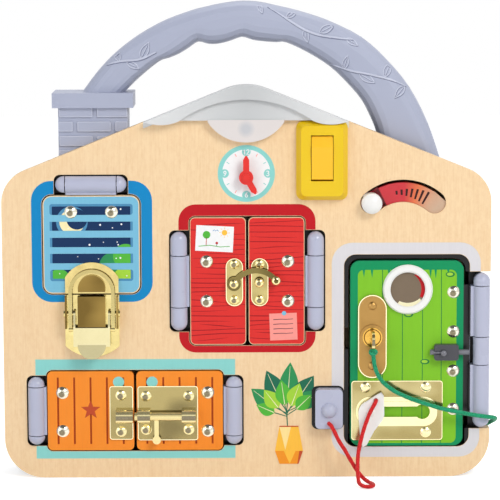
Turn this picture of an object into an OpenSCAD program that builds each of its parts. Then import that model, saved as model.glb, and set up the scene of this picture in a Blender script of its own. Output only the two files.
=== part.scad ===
// Wooden busy board in the shape of a house: four doors with latches, a clock,
// a lamp with its switch, a slider and a carrying handle on a flat-bottomed case.
// X runs to the right, Z up, and the front faces -Y. Z = 0 is the flat base.

/* [Board] */
// Width of the front board
board_w = 330; // [326:1:338]
// Height at which the two roof slopes would meet
ridge_z = 270.8; // [268:0.2:274]
// Pitch of the roof in degrees
roof_pitch = 22; // [21:0.5:23]
// Thickness of the front board
board_t = 9; // [9:0.5:10]
// Radius of the two bottom corners
corner_r = 27; // [22:1:30]
// Radius of the two eaves
eave_r = 23; // [18:1:26]

/* [Case] */
// Depth of the case between the front board and the back panel
case_d = 31; // [30.5:0.5:36]
// How far the case stands in from the edge of the front board
case_inset = 6; // [5:0.5:7]
// Thickness of the case's outer wall
case_wall = 3; // [2.4:0.2:3.6]
// Thickness of the wall round each compartment
cell_wall = 2.4; // [2:0.2:2.8]
// Thickness of the back panel
back_t = 4; // [3:0.5:5]
// Radius of the bosses that take the back screws
boss_r = 4; // [3.5:0.25:4.5]
// Radius of the back screws' shanks
back_screw_r = 1.5; // [1.3:0.1:1.8]

/* [Doors] */
// Thickness of each door
door_t = 7; // [6.6:0.2:7.4]
// How far the doors stand out of the front board
door_proud = 1; // [0.6:0.2:1.4]
// Gap round each door
door_gap = 0.8; // [0.6:0.1:1.2]
// Gap between the two doors of a pair
pair_gap = 1.8; // [1.4:0.2:2.4]
// Width of the window flap
window_w = 65.2; // [62:0.2:67]
// Height of the window flap
window_h = 66.5; // [64:0.5:68]
// Width of each red door
red_w = 37.7; // [36.5:0.1:38.5]
// Height of the red doors
red_h = 86.8; // [84:0.2:89]
// Width of each orange door
orange_w = 58.7; // [57:0.1:60]
// Height of the orange doors
orange_h = 54.5; // [53:0.5:57]
// Width of the green door
green_w = 76.6; // [75:0.2:78]
// Height of the green door
green_h = 127.2; // [125:0.2:129]
// Corner radius of the window flap
window_r = 6; // [4:0.5:7]
// Corner radius of the red and the orange doors
pair_r = 3.4; // [2:0.2:4]
// Corner radius of the green door
green_r = 6.5; // [5:0.5:8]

/* [Hinges] */
// Radius of the hinge barrels
barrel_r = 5.6; // [5.3:0.1:5.8]
// Radius of the hinge pins
pin_r = 1.5; // [1.3:0.1:1.7]
// Running clearance of each pin and pivot
run = 0.06; // [0.04:0.01:0.1]
// Thickness of the hinge leaves
leaf_t = 2; // [1.6:0.1:2.4]
// Distance from a hinge's axis to the edge of its door
hinge_reach = 7.6; // [7.2:0.1:8.2]
// Gap between two knuckles
knuckle_gap = 0.6; // [0.5:0.1:0.9]
// Radius of the domed screw heads on the doors
dome_r = 4.4; // [4:0.1:4.8]
// Radius of the smaller domed heads on the brass plates
stud_r = 3.8; // [3.4:0.1:4]
// Radius of the screw shanks
shank_r = 1.4; // [1.2:0.1:1.6]

/* [Brassware] */
// Thickness of the brass plates
plate_t = 1.2; // [1:0.1:1.5]
// Radius of the barrel bolt's rod
rod_r = 3; // [2.6:0.1:3.2]
// Length of the barrel bolt's rod
rod_l = 40.3; // [38:0.1:40.4]
// Travel of the barrel bolt from rest to drawn back
rod_travel = 15; // [12:0.5:15]
// Width of the hook latch's plates
hook_plate_w = 11.6; // [10.6:0.2:12]
// Height of the hook latch's plates
hook_plate_h = 32.6; // [31:0.2:34]
// Radius of the hook arm's arc
hook_arc_r = 16.8; // [16.4:0.1:17.2]
// Width of the hook arm
hook_w = 3.6; // [3:0.1:4]
// Width of the lock's plate
lock_w = 19.4; // [18.6:0.2:20.4]
// Height of the lock's plate
lock_h = 57; // [55:0.5:58]
// Radius of the lock's turning plug
plug_r = 6.75; // [6.25:0.25:7]
// Width of the slotted plate
chain_w = 62; // [60:0.5:62]
// Height of the slotted plate
chain_h = 41; // [39:0.5:42]
// Height of the slot in the slotted plate
slot_h = 7.2; // [6.6:0.1:7.6]
// Travel of the tab along the slot
tab_travel = 32; // [28:0.5:32]
// Width of the toggle latch's base
latch_w = 36.6; // [36:0.2:38]

/* [Lamp and switch] */
// Width of the lamp cover
lamp_w = 138; // [130:1:142]
// How far the lamp cover stands out of the front board
lamp_out = 7; // [6:0.5:9]
// Width of the switch's bezel
switch_w = 34.6; // [32:0.2:37]
// Height of the switch's bezel
switch_h = 53.5; // [51:0.5:56]
// Width of the rocker
rocker_w = 14.3; // [13:0.1:15.5]
// Length of the rocker
rocker_l = 30; // [28:0.5:32]
// Length of the battery box
battery_w = 62; // [60:1:64]
// Radius of a battery
cell_r = 7.1; // [7:0.05:7.2]

/* [Play parts] */
// Radius of the slider's arc
slide_r = 32.3; // [31:0.1:33.5]
// Half the width of the slider's slot
slide_half = 7.6; // [7.2:0.1:8]
// Half the angle that the slider's knob covers
slide_turn = 41.2; // [38:0.2:43]
// Radius of the slider's knob
knob_r = 6.9; // [6:0.1:7.2]
// Length of the minute hand
minute_l = 14.6; // [13:0.2:16]
// Length of the hour hand
hour_l = 13; // [11:0.2:13]
// Width of the clock's hands
hand_w = 4.1; // [3.5:0.1:4.5]
// Radius of the clock's hub
hub_r = 4.8; // [4.4:0.1:5.4]
// Radius of the peephole's ring
peep_r = 16.9; // [16:0.1:17.5]
// Radius of the opening in the peephole's ring
peep_hole_r = 11.7; // [11:0.1:12.5]

/* [Handle and chimney] */
// Thickness of the handle from front to back
handle_t = 24; // [22:0.5:25]
// Width of the chimney
chimney_w = 46.8; // [45:0.2:48]
// Width of the chimney's cap
chimney_cap_w = 54.7; // [52:0.1:57]
// Depth of the chimney from front to back
chimney_d = 30; // [27:0.5:30]
// Height of the top of the chimney's cap
chimney_top = 262; // [260:0.5:264]

/* [Hidden] */
$fn = 48;
eps = 0.01;

// Depths are measured out of the front board's face, towards the viewer.
depth = board_t + case_d + back_t;
front_y = -depth / 2;
case_front = -board_t;
case_back = case_front - case_d;
door_back = door_proud - door_t;
plate_front = door_proud + plate_t;
slope = tan(roof_pitch);
left_x = -board_w / 2;
right_x = board_w / 2;

// Places of the groups, from the nearest edge of the board.
window_x = left_x + 60.5;
window_z = 160.4;
red_x = 0.5;
red_z = 135.2;
orange_x = left_x + 89;
orange_z = 46.4;
green_axis_x = right_x - case_inset;
green_x = green_axis_x - hinge_reach - 4.7 - green_w / 2;
green_z = 85.2;
clock_x = 0;
clock_z = 206;
switch_x = 50.9;
switch_z = 217;
slide_x = right_x - 59.4;
slide_z = 163.8;
lamp_x = 0;

// Centres and hinge axes of the paired doors.
red_step = (pair_gap + red_w) / 2;
red_axis = pair_gap / 2 + red_w + hinge_reach;
orange_step = (pair_gap + orange_w) / 2;
orange_axis = pair_gap / 2 + orange_w + hinge_reach;
window_axis_z = window_z + window_h / 2 + hinge_reach;

// Openings in the front board: [x, z, width, height, corner radius].
function hole_for(x, z, w, h, r) = [x, z, w + 2 * door_gap, h + 2 * door_gap, r + door_gap];
window_hole = hole_for(window_x, window_z, window_w, window_h, window_r);
red_hole = hole_for(red_x, red_z, 2 * red_w + pair_gap, red_h, pair_r);
orange_hole = hole_for(orange_x, orange_z, 2 * orange_w + pair_gap, orange_h, pair_r);
lip_t = 2.8;
lip_gap = 1.4;
green_margin = lip_t + lip_gap;
green_hole_h = green_h + green_margin + door_gap;
green_hole = [green_x, green_z + (green_margin - door_gap) / 2, green_w + 2 * green_margin, green_hole_h, 8];

lip_in_w = green_w + 2 * lip_gap;
lip_in_h = green_h + 60;
lip_top = green_z + green_h / 2 + lip_gap;

// Hinges: [x, z, turn, whole length, length of the door's knuckle].
window_hinge = [window_x, window_axis_z, -90, 48, 34];
red_hinges = [
    [red_x - red_axis, red_z, 0, 67.4, 34.6],
    [red_x + red_axis, red_z, 180, 67.4, 34.6]
];
orange_hinges = [
    [orange_x - orange_axis, orange_z, 0, 46.8, 33],
    [orange_x + orange_axis, orange_z, 180, 46.8, 33]
];
green_mid = 18.6;
green_knuckle = 34.2;
green_hinge_z = 87.2;
green_hinge = [green_axis_x, green_hinge_z, 180, 106, green_mid + 2 * green_knuckle + 2 * knuckle_gap];
leaf_back = door_back - leaf_t;
leaf_l = 24;
web = hinge_reach - 0.6;
green_web = 8.4;
notch_side = barrel_r + 0.9;
notch_end = 0.9;

// Domed screws on the doors, each [x, z].
window_dome_z = window_z + window_h / 2 - 11.1;
window_domes = [[window_x - 13.7, window_dome_z], [window_x + 13.7, window_dome_z]];
red_dome_x = red_axis - 18.7;
function dome_pair(x, z, up, low) = [[x, z + up], [x, z - low]];
red_domes = [for (s = [-1, 1]) dome_pair(red_x + s * red_dome_x, red_z, 13.4, 13.7)];
orange_dome_x = orange_axis - 17.8;
orange_domes = [for (s = [-1, 1]) dome_pair(orange_x + s * orange_dome_x, orange_z, 12.3, 14.1)];
green_dome_x = green_axis_x - 19;
green_domes = [for (z = [40, 13, -14, -40.4]) [green_dome_x, green_hinge_z + z]];

// Elevation helpers: 2D shapes are drawn in X and Z and stand between two depths.
module front(d) {
    translate([0, front_y - d, 0]) rotate([90, 0, 0]) children();
}
module slab(d0, d1) {
    front(d0) linear_extrude(d1 - d0) children();
}
module at(x, z, turn = 0) {
    translate([x, z]) rotate(turn) children();
}
module box2(w, h) {
    square([w, h], center = true);
}
module rounded(w, h, r) {
    box2(w - 2 * r, h);
    box2(w, h - 2 * r);
    for (sx = [-1, 1], sz = [-1, 1])
        translate([sx * (w / 2 - r), sz * (h / 2 - r)]) circle(r);
}
module stadium(w, h) {
    rounded(w, h, min(w, h) / 2 - eps);
}
module opening2(o, grow = 0) {
    at(o[0], o[1]) rounded(o[2] + 2 * grow, o[3] + 2 * grow, o[4] + grow);
}
// A round-headed fastener: its dome stands on depth d, its shank goes down to d0.
module dome(r, h) {
    ball = (r * r + h * h) / (2 * h);
    difference() {
        translate([0, 0, h - ball]) sphere(ball);
        translate([0, 0, -2 * ball]) cube([4 * ball, 4 * ball, 4 * ball], center = true);
    }
}
module dome_screw(p, d, d0, r, h) {
    front(d) translate([p[0], p[1], 0]) dome(r, h);
    slab(d0, d + 0.2) at(p[0], p[1]) circle(shank_r);
}
module shank_holes(points) {
    for (p = points) at(p[0], p[1]) circle(shank_r + run);
}
dome_h = 2;
stud_h = 1.5;
stud_bite = 4;

// Outline of the house, set in by a distance, with its floor at floor_z.
module house(inset = 0, floor_z = 0) {
    half = board_w / 2 - inset;
    top = ridge_z - inset / cos(roof_pitch);
    r_low = corner_r - inset;
    r_eave = eave_r - inset;
    eave_z = top - half * slope;
    reach = r_eave * tan((90 - roof_pitch) / 2);
    side_z = eave_z - reach;
    roof_x = half - reach * cos(roof_pitch);
    roof_z = top - roof_x * slope;
    polygon([
        [-half + r_low, floor_z], [half - r_low, floor_z], [half, floor_z + r_low],
        [half, side_z], [roof_x, roof_z], [0, top], [-roof_x, roof_z],
        [-half, side_z], [-half, floor_z + r_low]
    ]);
    for (s = [-1, 1]) {
        translate([s * (half - r_low), floor_z + r_low]) circle(r_low);
        translate([s * (half - r_eave), side_z]) circle(r_eave);
    }
}

// ---- Hinges -------------------------------------------------------------
// In a hinge's own frame X points to its door, Y runs along the pin and Z is forward.
module hinge_frame(h) {
    front(0) translate([h[0], h[1], 0]) rotate([0, 0, h[2]]) children();
}
module along_pin(y0, y1, r) {
    translate([0, y0, 0]) rotate([-90, 0, 0]) cylinder(r = r, h = y1 - y0);
}
module hinge_notch(h, reach) {
    at(h[0], h[1], h[2]) {
        w = notch_side + reach + 3;
        l = h[3] + 2 * notch_end;
        translate([w / 2 - notch_side, 0]) rounded(w, l, 4);
    }
}
module end_knuckles(h) {
    y0 = h[4] / 2 + knuckle_gap;
    y1 = h[3] / 2 - barrel_r;
    post_r = barrel_r - 0.8;
    for (s = [0, 1]) mirror([0, s, 0]) difference() {
        union() {
            along_pin(y0, max(y1, y0 + eps), barrel_r);
            translate([0, y1, 0]) sphere(barrel_r);
            translate([0, y1, case_front]) cylinder(r = post_r, h = board_t);
        }
        translate([-barrel_r, y0 - 2 * barrel_r, -2 * barrel_r])
            cube([2 * barrel_r, 2 * barrel_r, 4 * barrel_r]);
        along_pin(0, h[3] / 2 - 2, pin_r);
    }
}
module hinge_pin(h) {
    along_pin(-h[3] / 2 + 2, h[3] / 2 - 2, pin_r);
}
module leaf(y0, y1, reach, l) {
    along_pin(y0, y1, barrel_r);
    translate([0, y0, leaf_back]) cube([reach, y1 - y0, 1.5 - leaf_back]);
    translate([0, y0, leaf_back]) cube([l, y1 - y0, leaf_t]);
}
module hinge_leaf(h, reach, l, domes) {
    difference() {
        hinge_frame(h) leaf(-h[4] / 2, h[4] / 2, reach, l);
        hinge_frame(h) along_pin(-h[4], h[4], pin_r + run);
        slab(leaf_back - 1, door_back + 1) shank_holes(domes);
    }
}
all_hinges = concat([window_hinge], red_hinges, orange_hinges, [green_hinge]);

module hinge_knuckles() color("#b4b6c6") {
    for (h = all_hinges) hinge_frame(h) end_knuckles(h);
    hinge_frame(green_hinge) difference() {
        union() {
            along_pin(-green_mid / 2, green_mid / 2, barrel_r);
            translate([0, 0, case_front]) cylinder(r = barrel_r - 0.8, h = board_t);
        }
        along_pin(-green_mid, green_mid, pin_r);
    }
}
module hinge_pins() color("silver") {
    for (h = all_hinges) hinge_frame(h) hinge_pin(h);
}

// ---- Case and boards ----------------------------------------------------
module arc_band(r0, r1, a0, a1) {
    // Angles run clockwise from straight up, seen from the front.
    difference() {
        circle(r1);
        circle(r0);
        wedge_out(r1 + 5, a0, a1);
    }
}
module wedge_out(r, a0, a1) {
    // Everything outside the angles a0 to a1, which span under half a turn.
    mid = (a0 + a1) / 2;
    rotate(-mid) {
        half = (a1 - a0) / 2;
        far = 2 * r;
        polygon([
            [0, 0], [far * sin(half), far * cos(half)], [far * 2, 0],
            [0, -far * 2], [-far * 2, 0], [-far * sin(half), far * cos(half)]
        ]);
    }
}
module slide_slot(grow = 0) {
    at(slide_x, slide_z) {
        arc_band(slide_r - slide_half - grow, slide_r + slide_half + grow, -slide_turn, slide_turn);
        for (s = [-1, 1]) rotate(-s * slide_turn) translate([0, slide_r]) circle(slide_half + grow - 0.05);
    }
}
lamp_hole_w = 46;
lamp_hole_h = 7;
lamp_hole_z = 245;
lamp_skin = 4;
clock_pin_r = 1.5;
switch_body_w = 18.6;
switch_body_h = rocker_l + 6;
module front_board() color("#f0d7ab") slab(case_front, 0) difference() {
    house();
    // The ridge is cut down under the lamp cover.
    difference() {
        translate([-lamp_w / 2, 200]) square([lamp_w, 100]);
        lamp_gable(lamp_skin);
    }
    opening2(window_hole);
    opening2(red_hole);
    opening2(orange_hole);
    opening2(green_hole);
    hinge_notch(window_hinge, hinge_reach);
    for (h = concat(red_hinges, orange_hinges)) hinge_notch(h, hinge_reach);
    at(green_hinge[0], green_hinge[1]) translate([-15, -green_hinge[3] / 2 - notch_end])
        square([40, green_hinge[3] + 2 * notch_end]);
    at(lamp_x, lamp_hole_z) rounded(lamp_hole_w, lamp_hole_h, 2);
    at(switch_x, switch_z) box2(switch_body_w + 0.4, switch_body_h + 0.4);
    slide_slot();
    at(clock_x, clock_z) circle(clock_pin_r + run);
}

// Height of the case's roof above a given x.
function roof_at(x) = ridge_z - case_inset / cos(roof_pitch) - abs(x) * slope;

// Everything that the case's walls stand round.
cells = [window_hole, red_hole, orange_hole, green_hole];
rib = 2;
back_screw_xz = [
    [left_x + 18, 12], [red_x, 12], [right_x - 18, 12], [left_x + 15, 182],
    [right_x - 15, 186], [-70, 226.5], [80, 223]
];
module ribs() {
    wall_x = left_x + case_inset + case_wall;
    // Horizontal ribs, each [x0, x1, z].
    for (r = [
        [wall_x - 1, orange_x - orange_hole[2] / 2, orange_z],
        [wall_x - 1, window_x - window_hole[2] / 2, window_z],
        [window_x + window_hole[2] / 2, red_x - red_hole[2] / 2, 150],
        [red_x + red_hole[2] / 2, green_x - green_hole[2] / 2, 120],
        [orange_x + orange_hole[2] / 2, red_x, orange_z],
        [green_x + green_hole[2] / 2, -wall_x + 1, 80],
        [wall_x - 2, back_screw_xz[0][0], back_screw_xz[0][1]],
        [back_screw_xz[2][0], -wall_x + 2, back_screw_xz[2][1]],
        [wall_x - 1, back_screw_xz[3][0], back_screw_xz[3][1]],
        [back_screw_xz[4][0], -wall_x + 1, back_screw_xz[4][1]]
    ]) translate([r[0], r[2] - rib / 2]) square([r[1] - r[0], rib]);
    // Vertical ribs, each [x, z0, z1].
    for (r = [
        [orange_x - 30, 1, orange_z - orange_hole[3] / 2],
        [window_x, orange_z + orange_hole[3] / 2, window_z - window_hole[3] / 2],
        [window_x, window_z + window_hole[3] / 2, ridge_z + window_x * slope - 7],
        [red_x, 1, red_z - red_hole[3] / 2],
        [green_x, 1, green_z - green_h / 2],
        [back_screw_xz[5][0], back_screw_xz[5][1], roof_at(back_screw_xz[5][0]) - case_wall],
        [back_screw_xz[6][0], back_screw_xz[6][1], roof_at(back_screw_xz[6][0]) - case_wall]
    ]) translate([r[0] - rib / 2, r[1]]) square([rib, max(r[2] - r[1], rib)]);
}
shelf_t = 3;
module hinge_shelf(h) {
    w = notch_side + 4 + hinge_reach;
    at(h[0], h[1], h[2]) translate([w / 2 - notch_side - 4, 0]) box2(w, h[3] + 2);
}
cam_notch = [86, 105];
module case_shell() color("#1c1c20") {
    difference() {
        slab(case_back, case_front) difference() {
            union() {
                difference() {
                    house(case_inset, 0);
                    house(case_inset + case_wall, case_wall);
                }
                for (c = cells) opening2(c, cell_wall);
                ribs();
                for (p = back_screw_xz) at(p[0], p[1]) circle(boss_r);
            }
            for (c = cells) opening2(c);
            for (p = back_screw_xz) at(p[0], p[1]) circle(back_screw_r);
        }
        // Way for the lock's cam through the compartment's wall.
        slab(case_front - 4.5, case_front + 1)
            translate([green_x - green_hole[2] / 2 - cell_wall - 1, cam_notch[0]])
            square([cell_wall + 2, cam_notch[1] - cam_notch[0]]);
    }
    // Shelves that carry the hinges' fixed knuckles.
    slab(case_front - shelf_t, case_front) intersection() {
        house(case_inset, 0);
        difference() {
            for (h = all_hinges) hinge_shelf(h);
            for (c = cells) opening2(c);
        }
    }
    // Glossy lip that lines the green door's opening on three sides.
    green_lip(case_front - 4, case_front, 1, cam_notch[0] - 5, cam_notch[1] + 1);
    green_lip(case_front, -0.6, -0.1, cam_notch[0] + 2, cam_notch[1] - 2);
}
module green_lip(d0, d1, grow, cut0, cut1) {
    slab(d0, d1) difference() {
        opening2(green_hole, grow);
        at(green_x, lip_top - lip_in_h / 2) rounded(lip_in_w, lip_in_h, green_r + lip_gap);
        at(green_hinge[0], green_hinge[1]) translate([-40, -green_hinge[3] / 2 - notch_end])
            square([60, green_hinge[3] + 2 * notch_end]);
        translate([green_x - green_w, cut0]) square([green_w / 1.9, cut1 - cut0]);
        translate([green_x - green_w, green_z - green_h / 2 - 10]) square([2 * green_w, 12]);
    }
}
back_mid_x = -16;
back_mid_z = 212;
cell_l = 50.5;
cell_pitch = 2 * cell_r + 0.8;
battery_h = 3 * cell_pitch + 1;
battery_wall = 3;
battery_deep = 2 * cell_r + 3;
battery_gap = 0.4;
module back_panel() color("#d8b98a") slab(case_back - back_t, case_back) difference() {
    house(case_inset, 0);
    at(back_mid_x, back_mid_z) rounded(battery_w + 2 * battery_gap, battery_h + 2 * battery_gap, 3);
    for (p = back_screw_xz) at(p[0], p[1]) circle(back_screw_r + run);
}
module back_screws() color("silver") for (p = back_screw_xz) {
    head = case_back - back_t;
    difference() {
        union() {
            slab(head - 1.8, head) at(p[0], p[1]) circle(2.6 * back_screw_r / 1.5);
            slab(head, case_back + 12) at(p[0], p[1]) circle(back_screw_r);
        }
        slab(head - 2, head - 0.9) at(p[0], p[1]) for (t = [0, 90]) rotate(t) box2(3, 0.8);
    }
}
module battery_door() color("#1c1c20") {
    slab(case_back - back_t, case_back) difference() {
        at(back_mid_x, back_mid_z) rounded(battery_w, battery_h, 3);
        at(back_mid_x + battery_w / 2, back_mid_z) circle(4);
    }
}
module battery_box() color("#2a2a2e") difference() {
    slab(case_back, case_back + battery_deep + 1.6) at(back_mid_x, back_mid_z)
        rounded(battery_w + 2 * battery_wall, battery_h + 2 * battery_wall, 2);
    slab(case_back - 1, case_back + battery_deep) at(back_mid_x, back_mid_z)
        box2(battery_w - 2, battery_h - 1);
}
module batteries() color("#c98a3a") for (k = [-1 : 1]) {
    z = back_mid_z + k * cell_pitch;
    d = case_back + battery_deep - cell_r - 0.1;
    front(d) translate([back_mid_x - cell_l / 2, z, 0]) rotate([0, 90, 0]) {
        cylinder(r = cell_r, h = cell_l - 1);
        translate([0, 0, cell_l - 1]) cylinder(r = 2.7, h = 1);
    }
}

// ---- Lamp and switch ----------------------------------------------------
lamp_low = 244.2;
lamp_end_low = 241.5;
lamp_end_x = 57;
lamp_cap_r = 38;
lobe_r = 30.8;
lobe_low = 229.5;
lobe_half = 25.6;
recess_r = 77;
recess_top = 258.4;
recess = 3;
module lamp_gable(drop = 0) {
    top = ridge_z - drop / cos(roof_pitch);
    r = lamp_cap_r - drop;
    cap_z = top - r / cos(roof_pitch);
    half = lamp_w / 2 + 5;
    polygon([
        [-half, 200], [-half, top - half * slope], [-r * sin(roof_pitch), cap_z + r * cos(roof_pitch)],
        [r * sin(roof_pitch), cap_z + r * cos(roof_pitch)], [half, top - half * slope], [half, 200]
    ]);
    translate([0, cap_z]) circle(r);
}
module lamp_band(x0, x1, z0, z1) {
    translate([x0, z0]) square([x1 - x0, z1 - z0]);
}
module lamp_outline() {
    half = lamp_w / 2;
    intersection() {
        lamp_gable();
        lamp_band(-half, half, lamp_low, ridge_z);
    }
    for (s = [-1, 1]) intersection() {
        lamp_gable();
        translate([s * lamp_end_x, lamp_end_low + lobe_r]) circle(lobe_r);
        lamp_band(-half, half, lamp_end_low - 1, lamp_low + 1);
    }
}
module lamp_cover() color("#cfcfd4") {
    difference() {
        slab(0, lamp_out) lamp_outline();
        slab(lamp_out - recess, lamp_out + 1) intersection() {
            translate([0, recess_top - recess_r]) circle(recess_r);
            lamp_band(-lamp_w / 2, lamp_w / 2, lamp_low - 1, ridge_z);
        }
    }
    slab(0, lamp_out - recess + 0.6) intersection() {
        translate([0, lobe_low + lobe_r]) circle(lobe_r);
        lamp_band(-lobe_half, lobe_half, lobe_low - 1, lamp_low + 0.6);
    }
    slab(case_front, 0) intersection() {
        difference() {
            lamp_gable();
            lamp_gable(lamp_skin - 0.1);
        }
        translate([-lamp_w / 2, 200]) square([lamp_w, 100]);
    }
}
led_pitch = 10;
pcb_t = 1.6;
pcb_h = 8;
module led_board() color("#e8e8e0") {
    slab(case_front - pcb_t, case_front) at(lamp_x, lamp_hole_z - 1) box2(lamp_hole_w + 6, pcb_h);
    for (k = [-2 : 2]) front(case_front) translate([k * led_pitch, lamp_hole_z, 0]) {
        cylinder(r = 2.5, h = 2.5);
        translate([0, 0, 2.5]) sphere(2.5);
    }
}
bezel_h = 8;
lamp_gap = 0.3;
bezel_bevel = 3.2;
switch_body_d = 16;
well_d = 8.4;
rocker_z = switch_z + 2;
rocker_pivot = 3;
rocker_tilt = 12;
axle_r = 1.5;
module switch_bezel() color("#f0d71e") difference() {
    union() {
        hull() {
            slab(0, 1.5) at(switch_x, switch_z) rounded(switch_w, switch_h, 5);
            slab(bezel_h - 1, bezel_h) at(switch_x, switch_z)
                rounded(switch_w - 2 * bezel_bevel, switch_h - 2 * bezel_bevel, 3.5);
        }
        slab(-switch_body_d, 0.5) at(switch_x, switch_z) box2(switch_body_w, switch_body_h);
    }
    slab(-well_d, bezel_h + 1) at(switch_x, rocker_z) box2(rocker_w + 0.8, rocker_l + 0.8);
    front(rocker_pivot) translate([switch_x - rocker_w / 2 - 1, rocker_z, 0]) rotate([0, 90, 0])
        cylinder(r = axle_r + run, h = rocker_w + 2);
    // The bezel's top end follows the lower edge of the lamp cover.
    slab(-0.5, bezel_h + 1) translate([0, -lamp_gap]) lamp_outline();
}
module switch_rocker() color("#f0b42d") {
    // The rocker's profile lies in depth and height, with round ends about its axle.
    translate([switch_x - rocker_w / 2, front_y - rocker_pivot, rocker_z]) rotate([90, 0, 90])
        linear_extrude(rocker_w) intersection() {
            circle(rocker_l / 2);
            polygon([
                [3.5, -rocker_l], [3.5, rocker_l], [-3.5, rocker_l],
                [-3.5, rocker_l / 2], [-6.5, rocker_l / 4], [-5, -rocker_l / 2], [-5, -rocker_l]
            ]);
        }
    front(rocker_pivot) translate([switch_x - rocker_w / 2 - 0.9, rocker_z, 0]) rotate([0, 90, 0])
        cylinder(r = axle_r, h = rocker_w + 1.8);
}

// ---- Clock and slider ---------------------------------------------------
hand_t = 1.5;
hand_gap = 0.4;
hand_point = 2.6;
hour_d = 3;
minute_d = hour_d + hand_t + hand_gap;
clock_pin_end = minute_d + hand_t + 0.4;
module clock_pin() color("#d03025") front(0) translate([clock_x, clock_z, 0]) {
    translate([0, 0, case_front - 3]) cylinder(r = clock_pin_r, h = clock_pin_end + 3 - case_front);
    translate([0, 0, case_front - 2]) cylinder(r = 4, h = 2);
    cylinder(r = 3, h = hour_d - 0.3);
    translate([0, 0, clock_pin_end]) cylinder(r = 2.6, h = 0.8);
}
module clock_hand(l, turn, d, hub) {
    slab(d, d + hand_t) at(clock_x, clock_z) difference() {
        rotate(-turn) {
            circle(hub);
            polygon([
                [-hand_w / 2, 0], [hand_w / 2, 0], [hand_w / 2, l - hand_point],
                [0.5, l], [-0.5, l], [-hand_w / 2, l - hand_point]
            ]);
        }
        circle(clock_pin_r + run);
    }
}
module hour_hand() color("#e8402f") clock_hand(hour_l, 150, hour_d, hub_r - 0.1);
module minute_hand() color("#e8402f") clock_hand(minute_l, 0, minute_d, hub_r);

groove = 2.2;
groove_r = slide_r + slide_half - groove;
strip_front = -1.5;
stalk_t = 1.4;
stalk_half = 2;
shoe_half = 4;
shoe_gap = 0.4;
flange_t = 1.5;
module slider_strip() color("#c21f2b") {
    slab(case_front, strip_front) at(slide_x, slide_z) {
        arc_band(slide_r - slide_half + 0.1, groove_r, -slide_turn + 15, slide_turn);
        rotate(-slide_turn) translate([0, slide_r]) intersection() {
            circle(slide_half - 0.1);
            translate([-slide_half, -2 * slide_half])
                square([2 * slide_half, groove_r - slide_r + 2 * slide_half]);
        }
    }
    slab(case_front - flange_t, case_front) at(slide_x, slide_z) difference() {
        arc_band(slide_r - slide_half - 3, slide_r + slide_half + 4, -slide_turn - 22, slide_turn + 22);
        arc_band(groove_r, slide_r + slide_half, -slide_turn - 7, slide_turn + 7);
    }
}
knob_top = 8;
module slider_knob() color("#f4f4f4") {
    mid = groove_r + groove / 2;
    rest = -slide_turn;
    front(0) translate([slide_x, slide_z, 0]) rotate([0, 0, -rest]) translate([0, slide_r, 0]) {
        translate([0, 0, -1]) cylinder(r = knob_r, h = knob_top - 1);
        translate([0, 0, knob_top - 2]) dome(knob_r, 3);
    }
    slab(case_front - flange_t - shoe_gap - 1.5, -0.5) at(slide_x, slide_z)
        arc_band(mid - stalk_t / 2, mid + stalk_t / 2, rest - stalk_half, rest + stalk_half);
    slab(case_front - flange_t - shoe_gap - 2, case_front - flange_t - shoe_gap) at(slide_x, slide_z)
        arc_band(mid - 3, mid + 3, rest - shoe_half, rest + shoe_half);
}

// ---- Handle and chimney -------------------------------------------------
mid_d = case_front - case_d / 2;
// Sections of the handle from its left foot to its right: [outer x, z, inner x, z].
handle_sections = [
    [-110.8, chimney_top, -82, chimney_top], [-101, 275, -71, 272.5],
    [-90.4, 286.4, -58.5, 282.4], [-78, 296.5, -51.5, 284.8], [-66, 304.2, -44.5, 287.8],
    [-53, 310.8, -38, 291.8], [-36.5, 316.7, -32, 295.6], [-28, 318.9, -25, 294],
    [-19, 320.9, -17.5, 294.3], [-9, 322.5, -9.5, 296.4], [0, 323, -2.4, 298.7],
    [10, 322.2, 5, 296.6], [20, 320, 12.5, 295.6], [32, 317.2, 20.5, 295],
    [45, 313.4, 27.5, 294.8], [58, 308.6, 42, 288], [78.4, 298.2, 56.8, 278.6],
    [95, 283.5, 68.5, 267.5], [110.7, 264.6, 78.4, 255.8], [123, 241, 85, 243],
    [131.2, 217.8, 88.1, 235.2], [133, roof_at(133), 90, roof_at(90)]
];
handle_edge_r = 10;
handle_steps = 3;
ring_q = 5;
ring_n = 4 * ring_q;
// A smooth curve through the listed sections.
function blend4(a, b, c, d, t) =
    0.5 * (2 * b + (c - a) * t + (2 * a - 5 * b + 4 * c - d) * t * t + (3 * b - a - 3 * c + d) * t * t * t);
function section(i) = handle_sections[min(max(i, 0), len(handle_sections) - 1)];
handle_curve = concat(
    [for (i = [0 : len(handle_sections) - 2]) for (k = [0 : handle_steps - 1])
        blend4(section(i - 1), section(i), section(i + 1), section(i + 2), k / handle_steps)],
    [section(len(handle_sections) - 1)]
);
function ring_point(s, k) =
    let (q = floor(k / ring_q), a = 90 * q + 90 / (ring_q - 1) * (k % ring_q),
         dx = s[0] - s[2], dz = s[1] - s[3], l = sqrt(dx * dx + dz * dz),
         u = ((q == 0 || q == 3) ? l - handle_edge_r : handle_edge_r) + handle_edge_r * cos(a),
         v = (q < 2 ? 1 : -1) * (handle_t / 2 - handle_edge_r) + handle_edge_r * sin(a))
    [s[2] + u * dx / l, front_y - mid_d + v, s[3] + u * dz / l];
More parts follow.
